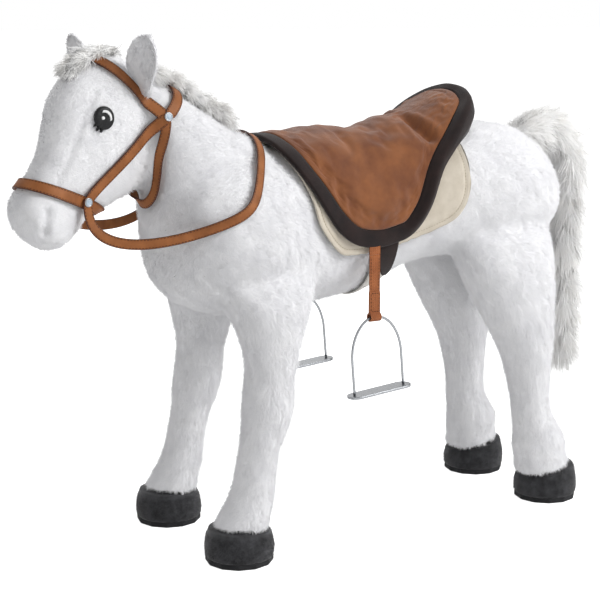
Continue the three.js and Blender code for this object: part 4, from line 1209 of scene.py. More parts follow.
@dataclass
class StuffedBody:
    """Trunk, neck, head and legs as one sewn and stuffed skin, with its short pile."""

    voxel: float = 4.5
    passes: int = 7
    body_pile: float = 7.5
    head_pile: float = 5.0
    sink: float = 0.62

    def pile_length(self, points: Array) -> Array:
        """The pile's length at places: shorter on the head, shortest on the muzzle."""
        head = np.clip((-305 - points[:, 1]) / 45, 0, 1) * np.clip((points[:, 2] - 420) / 30, 0, 1)
        shin = np.clip((330 - points[:, 2]) / 150, 0, 1)
        return (self.body_pile - 1.2 * shin) * (1 - head) + self.head_pile * head

    @staticmethod
    def brushing(points: Array) -> Array:
        """The direction of brushing: backwards and down, more steeply on the legs."""
        leg = np.clip((400 - points[:, 2]) / 120, 0, 1)[:, None]
        drift = waves(points, 90, 3)[:, None] * X * 0.35
        return unit((0.75 * Y - 0.5 * Z) * (1 - leg) + (0.1 * Y - Z) * leg + drift)

    def seams(self) -> list[Seam]:
        """The sewn lines that show: the cheek seams and the nostrils."""
        found = []
        for side in SIDES.values():
            line, nostril = [], []
            for share, turn in zip(np.linspace(0.27, 0.735, 60), np.linspace(46, 33, 60)):
                line.append(self.on_head(share, side, turn))
            for share, turn in zip(np.linspace(0.86, 0.955, 16), np.linspace(24, 4, 16)):
                nostril.append(self.on_head(share, side, turn))
            found += [Seam(np.array(line), 3.6, 5.0), Seam(np.array(nostril), 5.5, 9.0)]
        return found

    @staticmethod
    def on_head(share: float, side: int, turn: float) -> Array:
        """A point on the head's skin, some degrees from its side towards the face."""
        way = between(HEAD.side * side, HEAD.out, turn)
        return HEAD_SKIN.exit(HEAD.place(share, 0.0), way)

    def build(self, finishes: Finishes) -> None:
        """Makes the skin and its pile.

        Args:
            finishes: The horse's finishes.
        """
        lofts = [TRUNK.loft(), NECK.loft(), HEAD.loft()]
        lofts += [LEGS[pair].loft(SIDES[side]) for pair, side in CORNERS]
        points, faces = [], []
        for loft in lofts:
            base = sum(len(p) for p in points)
            more, quads = loft.mesh()
            points.append(more)
            faces += [tuple(base + v for v in f) for f in quads]
        skin, places = even_skin(
            "body_skin", np.concatenate(points), faces, finishes.plush, self.voxel, self.passes
        )
        normal = normals_of(skin)
        seams = self.seams()
        depth = self.sink * self.pile_length(places) + 0.8 * waves(places, 60, 11)
        for seam in seams:
            depth = depth + seam.depth * seam.nearness(places)
        set_points(skin, places - normal * depth[:, None])
        legs = [f"{pair}_{side}_leg" for pair, side in CORNERS]
        tie(skin, "horse", "white_plush", "trunk", "neck", "head", *legs, fill=0.85)
        sided = ("girth_tab", "cheekpiece", "eye", "ear", "strap_tab")
        cover = frame_tree(
            ["saddle_blanket", "saddle_seat", "saddle_trim", "girth"]
            + ["noseband", "browband", "headpiece", "throatlatch"]
            + [f"{side}_{part}" for side in SIDES for part in sided]
        )
        fibres = Pile().fibres(skin, self.pile_length, self.brushing, cover, seams)
        build_pile("body_pile", fibres, finishes.pile, "horse", "white_plush")
        log.info("body_skin: %d faces", len(skin.data.polygons))


HEAD_SKIN = Skin(HEAD.loft())
UPPER_SKIN = Skin(HEAD.loft(), NECK.loft())
BODY_SKIN = Skin(NECK.loft(), TRUNK.loft())


@dataclass
class Hoof:
    """A hoof cap of dark pile: [up, radius], as shares of its height over the sole and of its radius."""

    pair: str
    side: str
    bottom: float = 8.35
    top: float = 49
    radius: float = 52
    pile: float = 3.4
    shares: Rows = ((0, 0.955), (0.12, 0.99), (0.4, 1), (0.7, 0.97), (1, 0.9))

    def build(self, finishes: Finishes) -> None:
        """Makes the cap and its pile, and dresses the sole under it."""
        leg, side = LEGS[self.pair], SIDES[self.side]
        name = f"{self.pair}_{self.side}_hoof"
        rings = []
        for up, wide in smoothed(self.shares, 2):
            z = self.bottom + (self.top - self.bottom) * up
            centre = np.array([side * leg.half_track, leg.hoof_y, z])
            radius = wide * self.radius - self.pile * 0.6
            rings.append(ellipse_ring(centre, X, Y, radius, radius, radius, leg.slope * up, power=2))
        points, faces = Loft(np.array(rings)).mesh()
        cap = build_mesh(f"{name}_cap", points, faces, [finishes.dark_pile])
        tie(cap, "horse", "dark_plush", name, fill=0.95)
        pile = Pile(spacing=1.4, width=0.5, lean=0.9, tuft=9, seed=21 + side)
        fibres = pile.fibres(cap, self.length, self.brushing, None)
        paths = fibres.paths
        kept = (paths[:, -1, 2] > self.bottom + 0.5) & (paths[:, 0, 2] < self.top - 2 + leg.slope)
        fibres = Fibres(paths[kept], fibres.widths[kept], fibres.normals[kept])
        build_pile(f"{name}_pile", fibres, finishes.dark_pile, "horse", "dark_plush")
        dress_node(f"{self.pair}_{self.side}_sole", finishes.sole_felt)
        dress_node(f"{self.pair}_{self.side}_foot_plate", finishes.lacquer)

    def length(self, points: Array) -> Array:
        """The pile's length, the same all over."""
        return np.full(len(points), self.pile)

    @staticmethod
    def brushing(points: Array) -> Array:
        """The direction of brushing: down."""
        return np.tile(-Z, (len(points), 1))


@dataclass
class Ear:
    """An upright ear whose edges curl forward: [up, half width, half thickness] as shares."""

    side: str
    length: float = 83
    half_width: float = 29
    thickness: float = 12
    spread: float = 50
    lean: float = 26
    forward: float = 10
    facing: float = 12
    pile: float = 4
    curl: float = 14
    shares: Rows = (
        (0, 0.62, 1), (0.25, 0.88, 1), (0.5, 1, 0.85), (0.72, 0.9, 0.7), (0.9, 0.6, 0.55), (1, 0.2, 0.25),
    )

    def build(self, finishes: Finishes) -> None:
        """Makes the ear and its pile."""
        out = HEAD.side * SIDES[self.side]
        root = HEAD.place(0.117, -0.048) + out * self.spread
        up = between(between(Z, HEAD.forward, self.forward), out, self.lean)
        front = between(HEAD.forward, out, self.facing)
        broad = unit(np.cross(up, front))
        face = np.cross(broad, up)
        rings = []
        turn = np.linspace(0, 2 * math.pi, 40, endpoint=False)
        for rise, wide, thick in smoothed(self.shares, 2):
            across = np.sin(turn)
            curl = self.curl * (1 - 0.4 * rise) * min(1, 0.15 + rise / 0.4)
            depth = np.cos(turn) * (thick * self.thickness / 2 - 1.5) + curl * across**2 - 4
            half = max(wide * self.half_width - self.pile * 0.6, 1)
            low = -8 if rise == 0 else 0
            centre = root + up * (rise * (self.length - 3) + low)
            rings.append(centre + np.outer(across * half, broad) + np.outer(depth, face))
        points, faces = Loft(np.array(rings)).mesh()
        ear = build_mesh(f"{self.side}_ear_skin", points, faces, [finishes.plush])
        tie(ear, "horse", "white_plush", f"{self.side}_ear", fill=0.7)
        cover = frame_tree(["browband", "headpiece"])
        pile = Pile(spacing=1.4, width=0.42, lean=1.2, tuft=10, seed=31 + SIDES[self.side])
        fibres = pile.fibres(
            ear, lambda p: np.full(len(p), self.pile * 1.3), lambda p: np.tile(up, (len(p), 1)), cover
        )
        build_pile(f"{self.side}_ear_pile", fibres, finishes.pile, "horse", "white_plush")


@dataclass
class LongPile:
    """Long combed pile on a soft core: mane, forelock, tail and the dock inside its root."""

    node: str
    body: str
    slot: str
    inset: float
    length: float
    count: int
    rise: float
    fall: Callable[[Array], Array]
    width: float = 0.75
    tuft: float = 16
    steps: int = 5
    seed: int = 41
    voxel: float = 3.5
    passes: int = 8
    clear: float = 14

    def build(self, finishes: Finishes, cover: BVHTree | None = None) -> None:
        """Makes the core and its pile.

        Args:
            finishes: The horse's finishes.
            cover: What the pile must not grow through, or None.
        """
        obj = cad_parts[self.node]
        faces = [tuple(p.vertices) for p in obj.data.polygons]
        core, places = even_skin(
            f"{self.node}_core", points_of(obj), faces, finishes.long_pile, self.voxel, self.passes
        )
        set_points(core, places - normals_of(core) * self.inset)
        tie(core, self.body, self.slot, self.node, fill=0.6)
        rng = np.random.default_rng(self.seed)
        root, normal = scatter(core, self.count, rng)
        if cover is not None:
            rays = zip(root, normal)
            kept = np.array([cover.ray_cast(Vector(p), Vector(n), self.clear)[0] is None for p, n in rays])
            root, normal = root[kept], normal[kept]
        tufts = np.stack([waves(root, self.tuft, self.seed + i) for i in range(3)], 1)
        loose = rng.normal(size=root.shape) * 0.16
        start = unit(normal * self.rise + self.fall(root) * (1 - self.rise) + tufts * 0.35 + loose)
        reach = self.length * (0.65 + 0.5 * rng.random(len(root))) * (1 + 0.15 * tufts[:, 0])
        path = [root - normal]
        for step in range(self.steps):
            share = (step + 0.5) / self.steps
            end = self.fall(path[-1]) + tufts * 0.4 + loose * 1.5 - 0.35 * Z
            way = unit(start * (1 - share) + unit(end) * share)
            path.append(path[-1] + way * (reach / self.steps)[:, None])
        widths = self.width * (0.8 + 0.4 * rng.random(len(root)))
        fibres = Fibres(np.stack(path, 1), widths, normal)
        build_pile(f"{self.node}_pile", fibres, finishes.long_pile, self.body, self.slot, smooth=0.78)


# ---------------------------------------------------------------- sewn work


def even_course(
    points: Array, outs: Array, spacing: float, closed: bool = False, passes: int = 4
) -> Pair:
    """A strap's course with even spacing and no sharp corners.

    Args:
        points: The course's points.
        outs: The outward direction at each.
        spacing: Distance between the new points.
        closed: True where the course is a ring.
        passes: How many times the points are drawn towards their neighbours.

    Returns:
        The new points and outward directions.
    """
    rows = np.column_stack([points, outs])
    for _ in range(passes):
        ahead, behind = np.roll(rows, -1, 0), np.roll(rows, 1, 0)
        calm = 0.5 * rows + 0.25 * (ahead + behind)
        rows = calm if closed else np.concatenate([rows[:1], calm[1:-1], rows[-1:]])
    if closed:
        rows = np.concatenate([rows[-2:], rows, rows[:3]])
    rows = smoothed(rows, 2)
    if closed:
        rows = rows[8:-8]
    way = way_along(rows[:, :3])
    count = max(int(round(way[-1] / spacing)), 2)
    at = np.linspace(0, way[-1], count + 1)
    made = sample(rows, way, at)
    if closed:
        made = made[:-1]
    return made[:, :3], unit(made[:, 3:])


def course_frame(points: Array, outs: Array, closed: bool) -> Pair:
    """The direction along a course and the direction of its width at each point."""
    if closed:
        along = unit(np.roll(points, -1, 0) - np.roll(points, 1, 0))
    else:
        along = unit(np.gradient(points, axis=0))
    return along, unit(np.cross(along, outs))


def build_strap(
    name: str,
    points: Array,
    outs: Array,
    width: float,
    thickness: float,
    lift: float | Array,
    materials: Sequence[Material],
    closed: bool = False,
    round_ends: bool = False,
) -> Object:
    """Makes a flat strap with rounded, painted edges.

    Args:
        name: The piece's name.
        points: The course on the skin.
        outs: The outward direction at each point.
        width: The strap's width.
        thickness: Its thickness.
        lift: Height of its underside over the course.
        materials: Finish of its faces and of its edges.
        closed: True where it is a ring.
        round_ends: True where its ends are cut round.

    Returns:
        The strap.
    """
    _, edge = course_frame(points, outs, closed)
    half, radius = width / 2, thickness * 0.42
    corner = np.linspace(0, math.pi / 2, 4)
    flat_half, flat_rise = half - radius, thickness / 2 - radius
    profile = [
        (sx * flat_half + radius * math.cos(a), sz * flat_rise + radius * math.sin(a))
        for sx, sz, start in ((1, 1, 0), (-1, 1, 1), (-1, -1, 2), (1, -1, 3))
        for a in corner + start * math.pi / 2
    ]
    profile_array = np.array(profile)
    scale = np.ones(len(points))
    if round_ends and not closed:
        way = way_along(points)
        near = np.minimum(way, way[-1] - way)
        scale = np.sqrt(np.clip(1 - (1 - np.clip(near / half, 0.02, 1)) ** 2, 0.02, 1))
    lifts = np.broadcast_to(np.asarray(lift, float), (len(points),)) + thickness / 2
    rings = (
        points[:, None]
        + edge[:, None] * (profile_array[None, :, 0:1] * scale[:, None, None])
        + outs[:, None] * (profile_array[None, :, 1:2] + lifts[:, None, None])
    )
    columns = len(profile)
    faces = ring_faces(len(points), columns, around=True, closed=closed)
    sharp = [0 if i % 4 == 3 and i // 4 in (0, 2) else 1 for i in range(columns)]
    runs = len(points) if closed else len(points) - 1
    choice = sharp * runs + ([] if closed else [1, 1])
    flat = rings.reshape(-1, 3)
    turned = face_outwards(flat, faces) if not closed else faces
    return build_mesh(name, flat, turned, materials, np.array(choice))


def stitch_line(points: Array, outs: Array, length: float, gap: float, radius: float) -> Pair:
    """A row of stitches along a course.

    Args:
        points: The course, on the surface.
        outs: The outward direction at each point.
        length: Length of a stitch.
        gap: Distance between two stitches.
        radius: Half thickness of the thread.

    Returns:
        Points and quads of the stitches.
    """
    way = way_along(points)
    count = max(int(way[-1] / (length + gap)), 1)
    at = (np.arange(count) + 0.5) * way[-1] / count
    centre = sample(points, way, at)
    out = unit(sample(outs, way, at))
    along = unit(sample(points, way, at + 0.5) - sample(points, way, at - 0.5))
    side = unit(np.cross(along, out))
    rings = [(-0.5, 0.15), (-0.38, 0.8), (0, 1.0), (0.38, 0.8), (0.5, 0.15)]
    turn = circle(6)
    body = []
    for place, wide in rings:
        ring = side[:, None] * np.cos(turn)[:, None] + out[:, None] * np.sin(turn)[:, None]
        body.append(centre[:, None] + along[:, None] * place * length + ring * radius * wide)
    points_made = np.stack(body, 1).reshape(count, -1, 3)
    quads = np.array([f for f in ring_faces(5, 6, around=True) if len(f) == 4])
    numbers = quads[None] + (np.arange(count) * 30)[:, None, None]
    return points_made.reshape(-1, 3), numbers.reshape(-1, 4)


def build_stitches(
    name: str, lines: Sequence[Pair], material: Material, body: str, slot: str,
    length: float = 3.4, gap: float = 1.2, radius: float = 0.55,
) -> Object:
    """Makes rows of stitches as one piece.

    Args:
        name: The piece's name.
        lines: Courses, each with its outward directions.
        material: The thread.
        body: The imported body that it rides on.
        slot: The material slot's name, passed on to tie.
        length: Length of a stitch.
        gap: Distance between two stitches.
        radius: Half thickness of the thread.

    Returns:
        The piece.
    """
    points, faces, base = [], [], 0
    for course, outs in lines:
        more, quads = stitch_line(course, outs, length, gap, radius)
        points.append(more)
        faces.append(quads + base)
        base += len(more)
    obj = build_mesh(name, np.concatenate(points), np.concatenate(faces), [material])
    tie(obj, body, slot)
    return obj


@dataclass(frozen=True)
class PadOutline:
    """A pad's outline over the trunk, as rows of y and half drop."""

    rows: Array

    @staticmethod
    def of(shares: Rows, front_y: float, length: float, drop: float) -> "PadOutline":
        """The outline from a table of shares of its length and greatest drop."""
        table = np.array(shares)
        return PadOutline(np.column_stack([front_y + table[:, 0] * length, table[:, 1] * drop]))

    def inset(self, by: float) -> "PadOutline":
        """The outline moved inwards over the skin by a width."""
        rows, last = self.rows, len(self.rows) - 1
        inner: list[tuple[float, float]] = []
        for i, (y, half) in enumerate(rows):
            run = unit(rows[min(i + 1, last)] - rows[max(i - 1, 0)])
            place = rows[0][0] + by if i == 0 else rows[last][0] - by if i == last else y + run[1] * by
            if all(other < place for other, _ in inner):
                inner.append((place, max(half - run[0] * by, by / 2)))
        return PadOutline(np.array(inner))

    def fine(self) -> Array:
        """Finer rows of y and half drop."""
        rows = smoothed(self.rows, 2)
        kept = [0] + [i for i in range(1, len(rows)) if rows[i, 0] > rows[:i, 0].max() + 0.05]
        return rows[kept]

    def loop(self, spacing: float = 3.0) -> Array:
        """The closed outline as even points of y and drop, from the front round the left side."""
        fine = self.fine()
        ring = np.concatenate([fine, fine[::-1] * (1, -1)])
        ring = np.concatenate([ring, ring[:1]])
        way = way_along(ring)
        at = np.linspace(0, way[-1], int(way[-1] / spacing), endpoint=False)
        made = sample(ring, way, at)
        for _ in range(12):
            made = 0.5 * made + 0.25 * (np.roll(made, 1, 0) + np.roll(made, -1, 0))
        return made

    def inward(self, loop: Array) -> Array:
        """The inward direction at each point of the closed outline."""
        run = unit(np.roll(loop, -1, 0) - np.roll(loop, 1, 0))
        normal = np.stack([-run[:, 1], run[:, 0]], 1)
        middle = loop.mean(0)
        return normal * np.sign(np.sum((middle - loop) * normal, axis=1).mean())


def over_trunk(flat: Array, heights: Array) -> Pair:
    """Points over the trunk's skin from places of y and drop.

    Args:
        flat: Places, (n, 2).
        heights: Heights over the skin.

    Returns:
        The points and their outward directions.
    """
    points, outs = np.empty((len(flat), 3)), np.empty((len(flat), 3))
    stations = np.round(flat[:, 0] * 2) / 2
    for y in np.unique(stations):
        here = stations == y
        points[here], outs[here] = TRUNK.over(y, flat[here, 1], heights[here])
    points[:, 1] = flat[:, 0]
    return points, outs


def edge_distance(flat: Array, loop: Array) -> Array:
    """Distance of each place of y and drop to the closed outline."""
    nearest = np.full(len(flat), 1e9)
    for p in loop:
        nearest = np.minimum(nearest, np.sum((flat - p) ** 2, axis=1))
    return np.sqrt(nearest)


@dataclass
class Saddle:
    """The felt blanket, the suede seat with its cantle, the dark trim, the girth and its tabs."""

    pad_gap: float = 1.5
    blanket_thickness: float = 4
    blanket_front: float = -106
    blanket_length: float = 310
    blanket_drop: float = 214
    blanket_seam: float = 8.5
    saddle_front: float = -118
    saddle_length: float = 372
    saddle_drop: float = 201
    saddle_thickness: float = 8
    seat_proud: float = 1.2
    cantle: float = 43
    seat_reach: float = 92
    cantle_reach: float = 128
    trim_width: float = 25
    girth_y: float = 56
    girth_width: float = 40
    girth_thickness: float = 2.2
    tab_length: float = 52
    tab_thickness: float = 2
    tab_shares: Rows = (
        (0, -0.75, 1), (0.2, -0.75, 1), (0.5, -0.6, 1), (0.8, -0.15, 1), (0.95, 0.2, 0.9), (1, 0.4, 0.75),
    )
    crease_depth: float = 17
    dish_depth: float = 17
    rim_rise: float = 12
    blanket_shares: Rows = (
        (0, 0.28), (0.02, 0.42), (0.085, 0.68), (0.12, 0.83), (0.23, 0.97), (0.3, 1), (0.5, 0.965),
        (0.72, 0.92), (0.83, 0.91), (0.91, 0.885), (0.96, 0.82), (0.99, 0.7), (1, 0.55),
    )
    saddle_shares: Rows = (
        (0, 0.18), (0.016, 0.34), (0.045, 0.5), (0.085, 0.62), (0.15, 0.77), (0.215, 0.89), (0.3, 0.98),
        (0.42, 1), (0.525, 0.965), (0.585, 0.92), (0.655, 0.775), (0.69, 0.665), (0.745, 0.535),
        (0.9, 0.37), (0.96, 0.28), (1, 0.13),
    )
    rise_shares: Rows = (
        (0, 0), (0.15, 0.04), (0.263, 0.2), (0.43, 0.27), (0.57, 0.44), (0.67, 0.68), (0.77, 0.93),
        (0.87, 1), (0.95, 0.84), (1, 0.6),
    )

    @property
    def under(self) -> float:
        """Height of the saddle's underside over the trunk's skin."""
        return 2 * self.pad_gap + self.blanket_thickness

    def top(self, flat: Array) -> Array:
        """Height of the saddle's top over the trunk's skin at places of y and drop."""
        place = (flat[:, 0] - self.saddle_front) / self.saddle_length
        rise = np.interp(place, *smoothed(self.rise_shares, 2).T) * self.cantle
        reach = self.seat_reach + (self.cantle_reach - self.seat_reach) * np.clip(place, 0, 1) ** 2
        turn = math.pi / 2 * np.minimum(1, np.abs(flat[:, 1]) / reach)
        return self.under + self.saddle_thickness + rise * np.cos(turn) ** 1.3

    def crease(self, flat: Array) -> Array:
        """Depth of the folds in front of the cantle, where the padded seat bends up."""
        y, drop = flat[:, 0], np.abs(flat[:, 1])
        line = 137 + 26 * ((drop - 20) / 75) ** 2
        along = np.exp(-(((drop - 48) / 34) ** 4))
        fold = np.exp(-(np.abs((y - line) / 8) ** 1.5)) * along * self.crease_depth
        fold = fold + self.dish_depth * np.exp(-(((y - 165) / 46) ** 2)) * np.exp(-((drop / 62) ** 2))
        second = np.exp(-(((y - line + 15) / 5) ** 2)) * np.exp(-(((drop - 62) / 24) ** 2)) * 2.2
        swell = np.exp(-(((y - line - 11) / 8) ** 2)) * along * 2.4
        return fold + second - swell

    def pad(
        self,
        outline: PadOutline,
        low: float,
        high: Callable[[Array, Array], Array],
        columns: int,
        spacing: float = 3.2,
    ) -> tuple[Loft, Array]:
        """A closed pad over the trunk.

        Args:
            outline: The pad's outline.
            low: Height of its underside.
            high: Gives the height of its top from places and from distances to the outline.
            columns: Points across.
            spacing: Distance between the rows.

        Returns:
            The pad's form, and the top's places of y and drop.
        """
        fine = outline.fine()
        count = int((fine[-1, 0] - fine[0, 0]) / spacing)
        ends = 0.5 - 0.5 * np.cos(np.linspace(0, math.pi, count))
        ys = fine[0, 0] + (fine[-1, 0] - fine[0, 0]) * (0.75 * np.linspace(0, 1, count) + 0.25 * ends)
        halves = np.interp(ys, fine[:, 0], fine[:, 1])
        across = np.sin(np.linspace(-math.pi / 2, math.pi / 2, columns + 1)) * 0.3
        across += 0.7 * np.linspace(-1, 1, columns + 1)
        flat = np.stack([np.repeat(ys, columns + 1), (halves[:, None] * across[None]).ravel()], 1)
        away = edge_distance(flat, outline.loop())
        top, _ = over_trunk(flat, high(flat, away))
        base, _ = over_trunk(flat, np.full(len(flat), low))
        upper = top.reshape(count, columns + 1, 3)
        lower = base.reshape(count, columns + 1, 3)[:, ::-1]
        return Loft(np.concatenate([upper, lower], axis=1)), flat

    def saddle_outline(self) -> PadOutline:
        """The saddle's outline, to the outer edge of its trim."""
        return PadOutline.of(self.saddle_shares, self.saddle_front, self.saddle_length, self.saddle_drop)

    def blanket_outline(self) -> PadOutline:
        """The blanket's outline."""
        return PadOutline.of(self.blanket_shares, self.blanket_front, self.blanket_length, self.blanket_drop)

    def build(self, finishes: Finishes) -> None:
        """Makes the blanket, seat, trim, girth and tabs."""
        self.build_blanket(finishes)
        self.build_seat(finishes)
        self.build_trim(finishes)
        self.build_girth(finishes)

    def build_blanket(self, finishes: Finishes) -> None:
        """Makes the felt blanket with its turned edge and the stitches beside it."""
        outline = self.blanket_outline()
        low, full = self.pad_gap, self.blanket_thickness

        def high(flat: Array, away: Array) -> Array:
            """Height of the felt: round at the edge, pressed in along the seam."""
            edge = round_edge(away, 2.4)
            seam = 1.5 * np.exp(-(((away - self.blanket_seam) / 1.7) ** 2))
            swell = 0.35 * waves(flat, 55, 61) * np.clip(away / 20, 0, 1)
            return low + 0.6 + (full - 0.6) * edge - seam + swell

        points, faces = self.pad(outline, low, high, 120)[0].mesh()
        blanket = build_mesh("felt_blanket", points, faces, [finishes.felt])
        tie(blanket, "horse", "pale_felt", "saddle_blanket", fill=0.5)
        loop = outline.loop()
        inner = loop + outline.inward(loop) * self.blanket_seam
        seat = self.saddle_outline()
        course, outs = over_trunk(inner, np.full(len(inner), low + full - 1.0))
        hidden = self.inside(inner, seat.loop())
        runs = self.runs(~hidden)
        lines = [(course[a:b], outs[a:b]) for a, b in runs if b - a > 3]
        build_stitches("blanket_stitches", lines, finishes.felt_thread, "horse", "pale_felt")
        log.info("blanket: %d faces", len(faces))

    @staticmethod
    def inside(flat: Array, loop: Array) -> Array:
        """True for places inside a closed outline."""
        x, y = flat[:, 0], flat[:, 1]
        found = np.zeros(len(flat), bool)
        for (x1, y1), (x2, y2) in zip(loop, np.roll(loop, -1, 0)):
            crosses = (y1 > y) != (y2 > y)
            found ^= crosses & (x < (x2 - x1) * (y - y1) / (y2 - y1 + 1e-12) + x1)
        return found

    @staticmethod
    def runs(kept: Array) -> list[tuple[int, int]]:
        """Starts and ends of the runs of True."""
        steps = np.flatnonzero(np.diff(np.concatenate([[0], kept.astype(int), [0]])))
        return list(zip(steps[0::2], steps[1::2]))

    def build_seat(self, finishes: Finishes) -> None:
        """Makes the padded suede seat, with the folds in front of the cantle."""
        outer = self.saddle_outline()
        outline = outer.inset(self.trim_width)

        def high(flat: Array, away: Array) -> Array:
            """Height of the seat: rolled at its seam, full inside."""
            edge = round_edge(away, 4.5)
            full = 0.8 * np.clip(away / 30, 0, 1) * (1 + waves(flat, 70, 71)) + 0.4 * waves(flat, 24, 72)
            inner = np.clip(away / 14, 0, 1)
            top = self.top(flat) + self.seat_proud - 3.2 * (1 - edge)
            return top + (full - self.crease(flat)) * inner

        form, flat = self.pad(outline, self.under, high, 84, 4.6)
        points, faces = form.mesh()
        seat = build_mesh("suede_seat", points, faces, [finishes.suede])
        rows, columns, _ = form.rings.shape
        held = np.ones((rows, columns))
        loose = np.clip((edge_distance(flat, outline.loop()) - 6) / 8, 0, 1)
        loose = loose * (1 - 0.7 * np.clip(self.crease(flat) / self.crease_depth, 0, 1))
        held[:, : columns // 2] = 1 - loose.reshape(rows, columns // 2)
        fill_out(seat, held.ravel(), 6.0)
        tie(seat, "horse", "brown_suede", "saddle_seat", fill=0.7)
        log.info("suede_seat: %d faces", len(faces))

    def build_trim(self, finishes: Finishes) -> None:
        """Makes the dark trim round the seat as one rolled band."""
        outline = self.saddle_outline()
        loop = outline.loop(3.4)
        inward = outline.inward(loop)
        tall = self.top(loop) - self.under
        radius = np.clip(0.45 * tall, 3.4, 11)
        turns = np.linspace(0, math.pi / 2, 6)
        places = [np.zeros(len(loop))] + [radius * (1 - np.cos(a)) for a in turns]
        rises = [None] + [1 - math.sin(a) for a in turns]
        for share in (0.35, 0.55, 0.75, 0.9):
            places.append(np.maximum(radius, 3) + (self.trim_width - 0.6 - radius) * share)
            rises.append(0.0)
        places += [np.full(len(loop), self.trim_width - 0.4), np.full(len(loop), self.trim_width + 0.6)]
        rises += [0.12, None]
        rim = 0.5 - 0.5 * np.cos(math.pi * np.clip((loop[:, 0] - 60) / 70, 0, 1))
        rings = []
        for place, rise in zip(places, rises):
            flat = loop + inward * place[:, None]
            if rise is None:
                height = np.full(len(loop), self.under)
            else:
                swell = 0.9 * np.sin(math.pi * np.clip(place / self.trim_width, 0, 1))
                swell += self.rim_rise * rim * np.sin(math.pi * np.clip(place / self.trim_width, 0.12, 0.9))
                height = self.top(flat) + swell - 0.7 - rise * radius + 0.3 * waves(flat, 40, 77)
            points, _ = over_trunk(flat, height)
            rings.append(points)
        grid = np.stack(rings, 1)
        rows, columns, _ = grid.shape
        faces = ring_faces(rows, columns, around=True, closed=True)
        points = grid.reshape(-1, 3)
        trim = build_mesh("dark_suede_trim", points, face_outwards(points, faces), [finishes.dark_suede])
        tie(trim, "horse", "dark_trim", "saddle_trim", fill=0.7)
        log.info("dark_suede_trim: %d faces", len(faces))

    def band(
        self, rows: Array, low: float, thickness: float, columns: int = 16
    ) -> tuple[Array, Faces]:
        """A flat band over the trunk from rows of [drop, front, rear], with rounded edges.

        Args:
            rows: The band's rows.
            low: Height of its underside over the skin.
            thickness: Its thickness.
            columns: Points across.

        Returns:
            Its points and faces.
        """
        share = 0.5 - 0.5 * np.cos(np.linspace(0, math.pi, columns + 1))
        ends = np.minimum(np.arange(len(rows)), np.arange(len(rows))[::-1])
        flat, height = [], []
        for (drop, front, rear), end in zip(rows, ends):
            ys = front + (rear - front) * share
            away = np.minimum(np.minimum(ys - front, rear - ys), 2.0 if end else 0.2)
            edge = round_edge(away, 1.1)
            flat.append(np.stack([ys, np.full(len(ys), drop)], 1))
            height.append(low + 0.4 + (thickness - 0.4) * edge)
        places = np.concatenate(flat)
        top, _ = over_trunk(places, np.concatenate(height))
        base, _ = over_trunk(places, np.full(len(places), low))
        shape = (len(rows), columns + 1, 3)
        return Loft(np.concatenate([top.reshape(shape), base.reshape(shape)[:, ::-1]], axis=1)).mesh()

    def build_girth(self, finishes: Finishes) -> None:
        """Makes the woven girth under the belly and the suede tab on each side."""
        half = TRUNK.walk(self.girth_y)[-1, 0]
        front = self.girth_y - self.girth_width / 2
        blanket = self.blanket_outline().rows
        free = half - np.interp(front, blanket[:, 0], blanket[:, 1]) - 0.8
        count = 90
        rows = []
        for i in range(count + 1):
            share = 1 - 2 * i / count
            side = -1 if share < 0 else 1
            rows.append((side * (half - abs(share) * free), front, front + self.girth_width))
        points, faces = self.band(np.array(rows), self.pad_gap, self.girth_thickness, 24)
        girth = build_mesh("woven_girth", points, faces, [finishes.webbing])
        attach(girth, "horse")
        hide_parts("girth")
        saddle = self.saddle_outline().rows
        start = np.interp(front, saddle[:, 0], saddle[:, 1]) - 6
        shares = smoothed(self.tab_shares, 2)
        for name, side in SIDES.items():
            rows = [
                (side * (start + down * (self.tab_length + 6)), self.girth_y + ahead * self.girth_width / 2,
                 self.girth_y + behind * self.girth_width / 2)
                for down, ahead, behind in shares
            ]
            low = self.pad_gap + self.blanket_thickness + 0.8
            points, faces = self.band(np.array(rows), low, self.tab_thickness, 16)
            tab = build_mesh(f"{name}_suede_tab", points, faces, [finishes.dark_suede])
            tie(tab, "horse", "dark_trim", f"{name}_girth_tab")
        log.info("girth and tabs")


